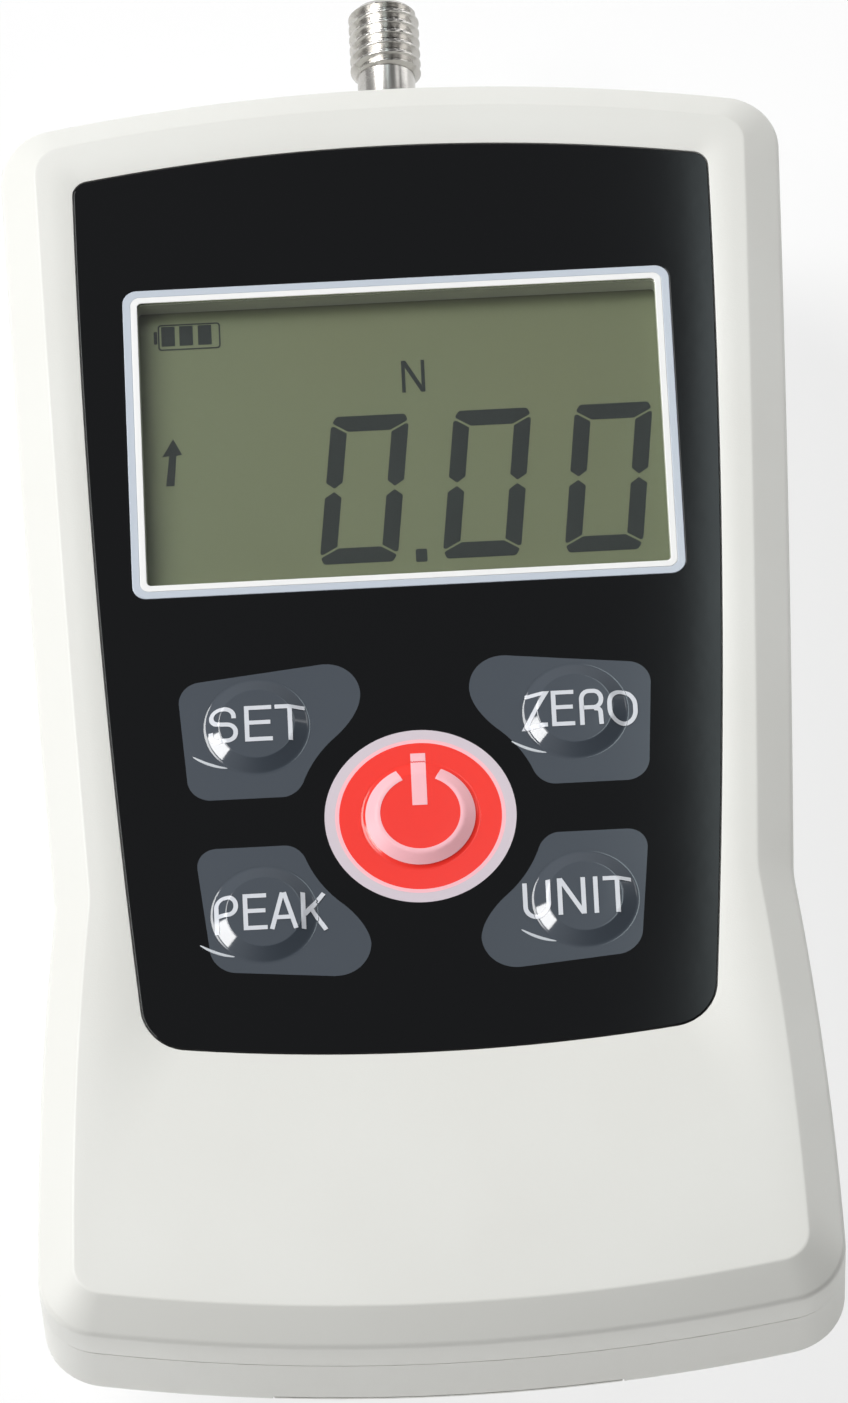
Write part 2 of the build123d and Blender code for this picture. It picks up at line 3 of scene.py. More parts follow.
from __future__ import annotations

import logging
import math
from collections.abc import Callable
from dataclasses import dataclass, field
from enum import Enum

import bmesh
import bpy
import numpy as np
from mathutils import Matrix, Vector


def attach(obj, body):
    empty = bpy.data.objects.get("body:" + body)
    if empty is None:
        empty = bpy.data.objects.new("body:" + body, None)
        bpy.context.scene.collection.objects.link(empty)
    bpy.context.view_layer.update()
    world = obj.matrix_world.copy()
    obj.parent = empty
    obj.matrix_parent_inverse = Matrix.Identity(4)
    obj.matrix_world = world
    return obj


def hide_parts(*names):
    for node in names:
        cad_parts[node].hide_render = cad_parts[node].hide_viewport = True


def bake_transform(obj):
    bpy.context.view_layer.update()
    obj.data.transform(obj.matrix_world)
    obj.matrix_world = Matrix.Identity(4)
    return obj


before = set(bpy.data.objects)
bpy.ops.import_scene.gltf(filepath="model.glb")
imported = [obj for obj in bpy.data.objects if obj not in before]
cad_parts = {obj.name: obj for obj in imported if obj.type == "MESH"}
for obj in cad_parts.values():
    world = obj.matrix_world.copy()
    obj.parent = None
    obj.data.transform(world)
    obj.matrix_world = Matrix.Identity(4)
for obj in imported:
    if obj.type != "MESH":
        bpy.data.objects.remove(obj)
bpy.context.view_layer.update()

LOG = logging.getLogger("force_gauge")
MM = 0.001
Array = np.ndarray
Field = Callable[[np.ndarray, np.ndarray], np.ndarray]
Colour = tuple[float, float, float]


# ---- shared sizes, millimetres ---------------------------------------------------
@dataclass(frozen=True)
class CaseSizes:
    """Sizes of the case that several sub-assemblies share."""

    thickness: float = 27.0
    length: float = 115.45
    stud: float = 12.8
    end_arch: float = 165.0
    head_half: float = 32.75
    waist_half: float = 30.0
    foot_half: float = 32.3
    waist_from_foot: float = 40.2
    side_bulge: float = 0.22
    foot_bulge: float = 0.55
    waist_blend: float = 0.15
    wall: float = 2.2
    plate: float = 2.0
    seam_depth: float = 5.4
    seam_gap: float = 0.04
    overlay_thickness: float = 0.5
    overlay_from_head: float = 6.7
    overlay_length: float = 83.65
    overlay_head_half: float = 26.5
    overlay_foot_half: float = 22.9
    overlay_arch: float = 160.0
    overlay_bulge: float = 0.85
    window_width: float = 45.5
    window_height: float = 28.9
    display_from_head: float = 33.78
    power_from_head: float = 69.3
    key_spread: float = 13.0
    key_rise: float = 8.82
    key_drop: float = 8.22
    key_radius: float = 4.4
    power_key_radius: float = 4.9
    key_crown: float = 0.64
    print_rise: float = 0.01

    @property
    def foot_y(self) -> float:
        """Where the case ends at its foot."""
        return -(self.length + self.stud) / 2

    @property
    def head_y(self) -> float:
        """Where the case ends at its head."""
        return self.foot_y + self.length

    @property
    def waist_y(self) -> float:
        """Where the case is narrowest."""
        return self.foot_y + self.waist_from_foot

    @property
    def display_y(self) -> float:
        """Middle of the display."""
        return self.head_y - self.display_from_head

    @property
    def power_y(self) -> float:
        """Middle of the red key."""
        return self.head_y - self.power_from_head

    @property
    def overlay_z(self) -> float:
        """Floor of the overlay's recess."""
        return self.thickness - self.overlay_thickness


SIZES = CaseSizes()


class Key(Enum):
    """The five keys, each with its body's name."""

    SET = "set"
    ZERO = "zero"
    POWER = "power"
    PEAK = "peak"
    UNIT = "unit"

    @property
    def centre(self) -> tuple[float, float]:
        """Middle of the key in plan, millimetres."""
        side = {"set": -1, "peak": -1, "power": 0, "zero": 1, "unit": 1}[self.value]
        rise = {"set": SIZES.key_rise, "zero": SIZES.key_rise, "power": 0.0}.get(self.value, -SIZES.key_drop)
        return side * SIZES.key_spread, SIZES.power_y + rise

    @property
    def radius(self) -> float:
        """Radius of the key's dome, millimetres."""
        return SIZES.power_key_radius if self is Key.POWER else SIZES.key_radius


# ---- outlines as arrays ----------------------------------------------------------
CENTRE = np.array([0.0, -2.0])


def plan_angles(count: int = 720) -> Array:
    """Angles about the plan's centre, crowded towards the corners of the case and the overlay.

    Formula: the density is 1 plus a narrow bell at each corner's angle, and the angles are
    the inverse of its running sum.

    Args:
        count: number of angles round the outline.

    Returns:
        Angles in radians, rising from 0 to just under a full turn.
    """
    fine = np.linspace(0.0, 2 * np.pi, 20001)
    corners = np.array([[31.0, 47.0], [30.0, -60.0], [25.6, 42.0], [20.5, -36.0], [31, -20]]) - CENTRE
    mirrored = np.vstack([corners, corners * [-1, 1]])
    places = np.arctan2(mirrored[:, 1], mirrored[:, 0]) % (2 * np.pi)
    turn = (fine[:, None] - places[None, :] + np.pi) % (2 * np.pi) - np.pi
    density = 1.0 + 5.0 * np.exp(-((turn / 0.09) ** 2)).sum(1)
    total = np.concatenate([[0.0], np.cumsum((density[1:] + density[:-1]) / 2)])
    return np.interp(np.arange(count) / count * total[-1], total, fine)


ANGLES = plan_angles()


def solve_outline(
    distance: Field, reach: float = 90.0, centre: Array = CENTRE, angles: Array = ANGLES
) -> Array:
    """Outline where a distance field is zero, one point on each ray from a centre.

    Formula: the ray is halved 48 times between the centre and the reach, keeping the half
    in which the field changes sign.

    Args:
        distance: function of x and y arrays, negative inside the outline.
        reach: a radius outside the outline, millimetres.
        centre: where the rays start.
        angles: the rays' angles.

    Returns:
        Points of the outline, one row for each angle.
    """
    low = np.zeros_like(angles)
    high = np.full_like(angles, reach)
    ray = np.stack([np.cos(angles), np.sin(angles)], 1)
    for _ in range(48):
        middle = (low + high) / 2
        point = centre + ray * middle[:, None]
        inside = distance(point[:, 0], point[:, 1]) < 0
        low = np.where(inside, middle, low)
        high = np.where(inside, high, middle)
    return centre + ray * ((low + high) / 2)[:, None]


def round_corner(side: Array, end: Array, radius: float, lean: float = 0.0) -> Array:
    """Distance field of two fields' overlap, its corner rounded by a circle.

    Formula: both fields are raised by the radius; between the two edges' normals the distance
    to the circle's centre is the root of both squares less twice their product times lean,
    over the sine that belongs to lean; elsewhere the larger field counts. The radius is
    taken off again.

    Args:
        side: distance field of the one edge.
        end: distance field of the other edge.
        radius: corner radius.
        lean: cosine of the angle between the two edges' outward normals.

    Returns:
        The joined field.
    """
    a, b = side + radius, end + radius
    between = (a > b * lean) & (b > a * lean)
    middle = np.sqrt(np.maximum(a * a + b * b - 2 * a * b * lean, 0) / (1 - lean * lean))
    return np.where(between, middle, np.maximum(a, b)) - radius


HEAD_CORNER_REACH = 3.3
FOOT_CORNER_REACH = 3.2
CASE_LEAN = 0.18


def case_half_width(y: Array) -> Array:
    """Half width of the case along y: two slightly swollen runs that meet at the waist.

    Formula: each run is a straight line plus four times its swell times t times one less t;
    the larger of both is taken, with a quadratic blend where they are nearly equal.
    """
    up = (y - SIZES.waist_y) / (SIZES.head_y - HEAD_CORNER_REACH - SIZES.waist_y)
    down = (SIZES.waist_y - y) / (SIZES.waist_y - SIZES.foot_y - FOOT_CORNER_REACH)
    waist = SIZES.waist_half
    upper = waist + (SIZES.head_half - waist) * up + 4 * SIZES.side_bulge * up * (1 - up)
    lower = waist + (SIZES.foot_half - waist) * down + 4 * SIZES.foot_bulge * down * (1 - down)
    near = np.maximum(SIZES.waist_blend - np.abs(upper - lower), 0)
    return np.maximum(upper, lower) + near**2 / (4 * SIZES.waist_blend)


def case_distance(x: Array, y: Array, inset: float | Array, corner: float) -> Array:
    """Distance field of the case's plan drawn in by inset, its corners rounded.

    Formula: the larger of the side field and the two end-arc fields, with rounded corners.
    """
    side = np.abs(x) - case_half_width(y) + inset
    head = np.hypot(x, y - (SIZES.head_y - SIZES.end_arch)) - SIZES.end_arch + inset
    foot = np.hypot(x, y - (SIZES.foot_y + SIZES.end_arch)) - SIZES.end_arch + inset
    return round_corner(side, np.maximum(head, foot), corner, CASE_LEAN)


def case_outline(inset: float, corner: float) -> Array:
    """Plan outline of the case drawn in by inset: the zero line of its distance field."""
    return solve_outline(lambda x, y: case_distance(x, y, inset, corner))


def overlay_outline(margin: float) -> Array:
    """Plan outline of the overlay grown by margin, small corners at the head and large at the foot.

    Formula: as the case outline, with the corner radius 1.3 at the head and 4 at the foot.
    """
    head_y = SIZES.head_y - SIZES.overlay_from_head
    foot_y = head_y - SIZES.overlay_length

    def distance(x: Array, y: Array) -> Array:
        along = (head_y - 2.2 - y) / (SIZES.overlay_length - 3.9)
        half = SIZES.overlay_head_half + (SIZES.overlay_foot_half - SIZES.overlay_head_half) * along
        half = half + 4 * SIZES.overlay_bulge * along * (1 - along)
        side = np.abs(x) - half - margin
        head = np.hypot(x, y - (head_y - SIZES.overlay_arch)) - SIZES.overlay_arch - margin
        foot = np.hypot(x, y - (foot_y + SIZES.overlay_arch)) - SIZES.overlay_arch - margin
        return np.maximum(
            round_corner(side, head, 1.3 + margin, 0.165), round_corner(side, foot, 4.0 + margin, 0.23)
        )

    return solve_outline(distance)


def rounded_rectangle(centre: tuple[float, float], width: float, height: float, corner: float) -> Array:
    """Rounded rectangle: a quarter circle of twelve steps about each corner's centre."""
    turn = np.linspace(0, np.pi / 2, 13)
    quarters = []
    for index, (sx, sy) in enumerate(((1, 1), (-1, 1), (-1, -1), (1, -1))):
        angle = turn + index * np.pi / 2
        x = centre[0] + sx * (width / 2 - corner) + corner * np.cos(angle)
        y = centre[1] + sy * (height / 2 - corner) + corner * np.sin(angle)
        quarters.append(np.stack([x, y], 1))
    return np.vstack(quarters)


def window_outline(less: float, corner: float) -> Array:
    """Outline of the display's window, its width and height smaller by less."""
    middle = (0.0, SIZES.display_y)
    return rounded_rectangle(middle, SIZES.window_width - less, SIZES.window_height - less, corner)


def circle(centre: tuple[float, float], radius: float, count: int = 128) -> Array:
    """Round outline, its points evenly spaced."""
    angle = np.arange(count) / count * 2 * np.pi
    return np.stack([centre[0] + radius * np.cos(angle), centre[1] + radius * np.sin(angle)], 1)


def rounded_polygon(points: Array, radii: Array, steps: int = 14) -> Array:
    """Closed outline through corner points, each rounded by its own radius.

    Formula: the arc starts and ends at the radius divided by the tangent of half the corner's
    angle from the corner, and its points lie on a circle about the corner's own centre.

    Args:
        points: corners in order, one row each.
        radii: corner radius for each of them.
        steps: points on each arc.

    Returns:
        Points of the rounded outline.
    """
    back = np.roll(points, 1, 0) - points
    ahead = np.roll(points, -1, 0) - points
    back /= np.linalg.norm(back, axis=1, keepdims=True)
    ahead /= np.linalg.norm(ahead, axis=1, keepdims=True)
    half = np.arccos(np.clip((back * ahead).sum(1), -1, 1)) / 2
    reach = radii / np.tan(half)
    bisector = back + ahead
    bisector /= np.linalg.norm(bisector, axis=1, keepdims=True)
    centre = points + bisector * (radii / np.sin(half))[:, None]
    start = points + back * reach[:, None] - centre
    end = points + ahead * reach[:, None] - centre
    span = np.arccos(np.clip((start * end).sum(1) / np.maximum(radii**2, 1e-9), -1, 1))
    share = np.linspace(0, 1, steps)
    weight_a = np.sin((1 - share)[None, :] * span[:, None]) / np.sin(span)[:, None]
    weight_b = np.sin(share[None, :] * span[:, None]) / np.sin(span)[:, None]
    arc = start[:, None, :] * weight_a[..., None] + end[:, None, :] * weight_b[..., None]
    return (centre[:, None, :] + arc).reshape(-1, 2)


def rounded_profile(points: list[tuple[float, float]], radii: list[float], steps: int = 7) -> Array:
    """Open profile through corner points, its inner corners rounded; the ends stay sharp."""
    full = rounded_polygon(np.array(points, float), np.maximum(np.array(radii, float), 1e-4), steps)
    full = full.reshape(len(points), steps, 2)
    inner = full[1:-1].reshape(-1, 2)
    return np.vstack([points[0], inner, points[-1]])


# ---- meshes from arrays ----------------------------------------------------------
@dataclass
class Surface:
    """Points and faces gathered into one mesh, all in millimetres."""

    points: list[Array] = field(default_factory=list)
    faces: list[Array] = field(default_factory=list)
    count: int = 0

    def add(self, points: Array, faces: list[Array]) -> None:
        """Append points and faces that index into them."""
        self.points.append(points.reshape(-1, 3))
        self.faces.extend(face + self.count for face in faces)
        self.count += len(self.points[-1])

    def add_rings(
        self, rings: Array, cap_start: bool = False, cap_end: bool = False, loop: bool = False
    ) -> None:
        """Skin a stack of closed rings.

        Formula: ring i and ring i + 1 are joined point by point; a cap joins a ring to its own
        middle point, and a loop joins the last ring to the first.

        Args:
            rings: array of rings by points by three, outward when read anticlockwise upwards.
            cap_start: close the first ring.
            cap_end: close the last ring.
            loop: join the last ring to the first.
        """
        number, size = rings.shape[:2]
        index = np.arange(number * size).reshape(number, size)
        low, high = (index, np.roll(index, -1, 0)) if loop else (index[:-1], index[1:])
        side = np.stack([low, np.roll(low, -1, 1), np.roll(high, -1, 1), high], -1).reshape(-1, 4)
        points = rings.reshape(-1, 3)
        faces = [side]
        for ring, wanted, flip in ((index[0], cap_start, True), (index[-1], cap_end, False)):
            if wanted:
                middle = points[ring].mean(0, keepdims=True)
                hub = np.full(size, len(points))
                points = np.vstack([points, middle])
                fan = [ring, np.roll(ring, -1), hub]
                faces.append(np.stack(fan[::-1] if flip else fan, 1))
        self.add(points, faces)

    def mesh(self, name: str) -> bpy.types.Mesh:
        """Build the bare mesh, in metres."""
        points = np.vstack(self.points) * MM
        mesh = bpy.data.meshes.new(name)
        mesh.vertices.add(len(points))
        mesh.vertices.foreach_set("co", points.astype(np.float32).ravel())
        loops = np.concatenate([face.ravel() for face in self.faces])
        sizes = np.concatenate([np.full(len(face), face.shape[1]) for face in self.faces])
        mesh.loops.add(len(loops))
        mesh.loops.foreach_set("vertex_index", loops.astype(np.int32))
        mesh.polygons.add(len(sizes))
        starts = np.concatenate([[0], np.cumsum(sizes)[:-1]])
        mesh.polygons.foreach_set("loop_start", starts.astype(np.int32))
        mesh.update(calc_edges=True)
        mesh.validate()
        return mesh

    def make(self, name: str, sharp: float = 30.0) -> bpy.types.Object:
        """Build the Blender object, smooth except across edges sharper than the angle in degrees."""
        return finish_mesh(self.mesh(name), name, sharp)


def finish_mesh(mesh: bpy.types.Mesh, name: str, sharp: float) -> bpy.types.Object:
    """Smooth a mesh, mark its sharp edges and put it in the scene at the origin."""
    mesh.polygons.foreach_set("use_smooth", np.ones(len(mesh.polygons), bool))
    mesh.set_sharp_from_angle(angle=math.radians(sharp))
    piece = bpy.data.objects.new(name, mesh)
    bpy.context.scene.collection.objects.link(piece)
    return piece


def lift(outline: Array, z: float | Array) -> Array:
    """Give a plan outline its height."""
    return np.column_stack([outline, np.broadcast_to(z, len(outline))])


def turned(profile: Array, centre: tuple[float, float, float], axis: str = "z", count: int = 96) -> Array:
    """Surface of revolution as rings.

    Formula: each profile row is a radius and a height; its ring is the radius times the
    cosine and sine of an evenly spaced angle, at that height along the axis.
    """
    angle = np.arange(count) / count * 2 * np.pi
    across = profile[:, :1] * np.cos(angle)
    up = profile[:, :1] * np.sin(angle)
    along = np.repeat(profile[:, 1:], count, 1)
    if axis == "y":
        rings = np.stack([across, along, -up], -1)
    else:
        rings = np.stack([across, up, along], -1)
    return rings + np.array(centre)


def flat_plate(
    name: str, outlines: list[Array], low: float, high: float, edge: float = 0.0
) -> bpy.types.Object:
    """Flat plate between two heights, its outlines filled by turns so that inner ones are holes.

    Formula: the outlines become closed straight splines of one flat curve, which is filled,
    thickened evenly both ways and rounded by edge, and whose mesh is then raised.

    Args:
        name: name of the piece.
        outlines: closed outlines in plan, millimetres.
        low: underside's height, millimetres.
        high: top's height, millimetres.
        edge: rounding of the edges, millimetres.

    Returns:
        The plate as a mesh object at the origin.
    """
    curve = bpy.data.curves.new(name, "CURVE")
    curve.dimensions = "2D"
    curve.fill_mode = "BOTH"
    curve.extrude = (high - low - 2 * edge) / 2 * MM
    curve.bevel_depth = edge * MM
    curve.bevel_resolution = 2
    curve.offset = -edge * MM
    for outline in outlines:
        spline = curve.splines.new("POLY")
        spline.points.add(len(outline) - 1)
        rows = np.column_stack([outline * MM, np.zeros(len(outline)), np.ones(len(outline))])
        spline.points.foreach_set("co", rows.ravel())
        spline.use_cyclic_u = True
    holder = bpy.data.objects.new(name + "_curve", curve)
    bpy.context.scene.collection.objects.link(holder)
    mesh = bpy.data.meshes.new_from_object(holder.evaluated_get(bpy.context.evaluated_depsgraph_get()))
    bpy.data.objects.remove(holder)
    bpy.data.curves.remove(curve)
    weld(mesh, 1e-7)
    mesh.transform(Matrix.Translation((0, 0, (low + high) / 2 * MM)))
    mesh.name = name
    return finish_mesh(mesh, name, 12.0)


def weld(mesh: bpy.types.Mesh, distance: float) -> None:
    """Merge points that lie within a distance, in metres."""
    work = bmesh.new()
    work.from_mesh(mesh)
    bmesh.ops.remove_doubles(work, verts=work.verts, dist=distance)
    work.to_mesh(mesh)
    work.free()


def join(name: str, pieces: list[bpy.types.Object]) -> bpy.types.Object:
    """Join several pieces into the first one and rename it."""
    with bpy.context.temp_override(
        active_object=pieces[0], object=pieces[0], selected_objects=pieces, selected_editable_objects=pieces
    ):
        bpy.ops.object.join()
    pieces[0].name = name
    pieces[0].data.name = name
    return pieces[0]


def hull_normals(piece: bpy.types.Object, rim_z: float, rows: tuple) -> None:
    """Give the corners of faces that lie on the hull the normals of its formula.

    Formula: the hull's inset falls from row to row along the height by a cubic with the
    neighbours' mean slope; a point's normal is the plan field's gradient, by a central
    difference, with the inset's slope along z, or no slope on faces wholly above the hull.
    It is laid on a face off the flat back whose corners all lie within 0.3 mm of the hull
    and whose own normal turns less than 25 degrees from it; a level face keeps its own.

    Args:
        piece: copy of a CAD node, in metres.
        rim_z: height where the hull begins, millimetres.
        rows: share of that height and inset, from the rim down.
    """
    corner_radius, reach, step, agreement = 5.0, 0.3, 0.02, 0.906
    mesh = piece.data
    height = np.array([share for share, _ in rows])[::-1] * rim_z
    inset = np.array([drawn for _, drawn in rows])[::-1]
    slope = np.gradient(inset, height)
    x, y, z = (read_points(mesh) / MM).T
    cell = np.clip(np.searchsorted(height, z) - 1, 0, len(height) - 2)
    span = height[cell + 1] - height[cell]
    t = np.clip((z - height[cell]) / span, 0, 1)
    rise = inset[cell + 1] - inset[cell]
    a, b = slope[cell] * span - rise, rise - slope[cell + 1] * span
    drawn = inset[cell] + rise * t + t * (1 - t) * (a * (1 - t) + b * t)
    tilt = (rise + (1 - 2 * t) * (a * (1 - t) + b * t) + t * (1 - t) * (b - a)) / span
    drawn = np.where(z > rim_z, 0.0, drawn)

    def gap(aside: float, ahead: float) -> Array:
        return case_distance(x + aside, y + ahead, drawn, corner_radius)

    across = gap(step, 0.0) - gap(-step, 0.0)
    along = gap(0.0, step) - gap(0.0, -step)
    near = np.abs(gap(0.0, 0.0)) < reach
    corner = np.zeros(len(mesh.loops), np.int32)
    mesh.loops.foreach_get("vertex_index", corner)
    own = np.zeros(len(mesh.loops) * 3, np.float32)
    mesh.corner_normals.foreach_get("vector", own)
    own = own.reshape(-1, 3)
    flat = np.zeros(len(mesh.polygons) * 3, np.float32)
    mesh.polygons.foreach_get("normal", flat)
    size = np.zeros(len(mesh.polygons), np.int32)
    mesh.polygons.foreach_get("loop_total", size)
    face = np.repeat(np.arange(len(size)), size)
    upright = np.bincount(face, z[corner] > rim_z - 0.02) == size
    lean = np.where(upright[face], 0.0, tilt[corner])
    ideal = np.stack([across[corner] / (2 * step), along[corner] / (2 * step), lean], 1)
    ideal /= np.linalg.norm(ideal, axis=1, keepdims=True)
    fits = near[corner] & ((flat.reshape(-1, 3)[face] * ideal).sum(1) > agreement)
    whole = (np.bincount(face, fits) == size) & (np.bincount(face, z[corner] > 0.01) > 0)
    chosen = whole[face]
    own[chosen] = ideal[chosen]
    level = np.abs(flat.reshape(-1, 3)[face, 2]) > 0.998
    own[level] = flat.reshape(-1, 3)[face[level]]
    edge = np.zeros(len(mesh.loops), np.int32)
    mesh.loops.foreach_get("edge_index", edge)
    flats = np.bincount(edge, level, len(mesh.edges))
    hard = np.zeros(len(mesh.edges), bool)
    mesh.edges.foreach_get("use_edge_sharp", hard)
    mesh.edges.foreach_set("use_edge_sharp", hard | (flats == 1))
    mesh.normals_split_custom_set(own.tolist())
    LOG.info("%s has %d hull faces", piece.name, int(whole.sum()))


def smooth_copy(node: str, name: str, sharp: float = 28.0) -> bpy.types.Object:
    """Welded, smoothly shaded copy of a CAD node that stands for it."""
    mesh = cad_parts[node].data.copy()
    mesh.materials.clear()
    for layer in list(mesh.uv_layers):
        mesh.uv_layers.remove(layer)
    if mesh.has_custom_normals:
        mesh.normals_split_custom_set([(0.0, 0.0, 0.0)] * len(mesh.loops))
    weld(mesh, 2e-6)
    piece = finish_mesh(mesh, name, sharp)
    modifier = piece.modifiers.new("weighted_normals", "WEIGHTED_NORMAL")
    modifier.keep_sharp = True
    modifier.weight = 80
    return piece


# ---- shared effects --------------------------------------------------------------
class Effect(Enum):
    """Shader node groups that several finishes share."""

    GRAIN = "moulded_grain"
    TONE = "tone_variation"
    SCRATCHES = "hair_scratches"


def new_group(name: str, inputs: dict[str, float | tuple], outputs: dict[str, str]) -> tuple:
    """Start a shader group with named sockets.

    Args:
        name: name of the group.
        inputs: default of each input; a tuple makes a colour socket.
        outputs: socket type of each output.

    Returns:
        The group, its input node and its output node.
    """
    group = bpy.data.node_groups.new(name, "ShaderNodeTree")
    for label, value in inputs.items():
        kind = "NodeSocketColor" if isinstance(value, tuple) else "NodeSocketFloat"
        group.interface.new_socket(name=label, in_out="INPUT", socket_type=kind).default_value = value
    for label, kind in outputs.items():
        group.interface.new_socket(name=label, in_out="OUTPUT", socket_type=kind)
    return group, group.nodes.new("NodeGroupInput"), group.nodes.new("NodeGroupOutput")


def add_node(
    tree: bpy.types.NodeTree, kind: str, values: dict | None = None, **feeds: bpy.types.NodeSocket
) -> bpy.types.Node:
    """Add a shader node, set its sockets and link what feeds it.

    Args:
        tree: tree that gets the node.
        kind: node type without its "ShaderNode"; after a colon comes its operation.
        values: value of each socket, by name or number.
        feeds: output linked to each input, by name with _ for a blank, or by number after "n".

    Returns:
        The node.
    """
    kind, _, operation = kind.partition(":")
    node = tree.nodes.new("ShaderNode" + kind)
    if operation:
        node.operation = operation
    for key, value in (values or {}).items():
        node.inputs[key].default_value = value
    for key, output in feeds.items():
        tree.links.new(output, node.inputs[int(key[1:]) if key[1:].isdigit() else key.replace("_", " ")])
    return node


def build_grain() -> bpy.types.NodeTree:
    """Fine moulded texture: the mean of two noises, the second 3.1 times as fine."""
    group, source, sink = new_group(
        Effect.GRAIN.value, {"Scale": 2500.0}, {"Height": "NodeSocketFloat", "Mask": "NodeSocketFloat"}
    )
    place = add_node(group, "TexCoord").outputs["Object"]
    scale = source.outputs["Scale"]
    times = add_node(group, "Math:MULTIPLY", {1: 3.1}, n0=scale)
    coarse = add_node(group, "TexNoise", {"Detail": 2.0}, Vector=place, Scale=scale)
    fine = add_node(group, "TexNoise", {"Detail": 1.0}, Vector=place, Scale=times.outputs[0])
    both = add_node(group, "Math:ADD", n0=coarse.outputs["Fac"], n1=fine.outputs["Fac"])
    half = add_node(group, "Math:MULTIPLY", {1: 0.5}, n0=both.outputs[0])
    group.links.new(half.outputs[0], sink.inputs["Height"])
    group.links.new(coarse.outputs["Fac"], sink.inputs["Mask"])
    return group


def build_tone() -> bpy.types.NodeTree:
    """Slow drift of a colour between two tones, by a broad noise."""
    group, source, sink = new_group(
        Effect.TONE.value,
        {"Colour": (0.5, 0.5, 0.5, 1.0), "Other": (0.5, 0.5, 0.5, 1.0), "Scale": 40.0},
        {"Colour": "NodeSocketColor", "Mask": "NodeSocketFloat"},
    )
    place = add_node(group, "TexCoord").outputs["Object"]
    drift = add_node(group, "TexNoise", {"Detail": 3.0}, Vector=place, Scale=source.outputs["Scale"])
    steep = add_node(group, "MapRange", {"From Min": 0.3, "From Max": 0.7}, Value=drift.outputs["Fac"])
    mix = group.nodes.new("ShaderNodeMix")
    mix.data_type = "RGBA"
    group.links.new(steep.outputs["Result"], mix.inputs["Factor"])
    group.links.new(source.outputs["Colour"], mix.inputs[6])
    group.links.new(source.outputs["Other"], mix.inputs[7])
    group.links.new(mix.outputs[2], sink.inputs["Colour"])
    group.links.new(steep.outputs["Result"], sink.inputs["Mask"])
    return group


def build_scratches() -> bpy.types.NodeTree:
    """Fine turned or drawn lines: a noise stretched along one axis of the piece."""
    group, source, sink = new_group(
        Effect.SCRATCHES.value, {"Along": 60.0, "Across": 6000.0}, {"Height": "NodeSocketFloat"}
    )
    split = add_node(group, "SeparateXYZ", n0=add_node(group, "TexCoord").outputs["Object"])
    merge = add_node(group, "CombineXYZ")
    for axis, label in (("X", "Along"), ("Y", "Across"), ("Z", "Along")):
        times = add_node(group, "Math:MULTIPLY", n0=split.outputs[axis], n1=source.outputs[label])
        group.links.new(times.outputs[0], merge.inputs[axis])
    lines = add_node(group, "TexNoise", {"Scale": 1.0, "Detail": 2.0}, Vector=merge.outputs[0])
    group.links.new(lines.outputs["Fac"], sink.inputs["Height"])
    return group


GROUPS = {Effect.GRAIN: build_grain(), Effect.TONE: build_tone(), Effect.SCRATCHES: build_scratches()}


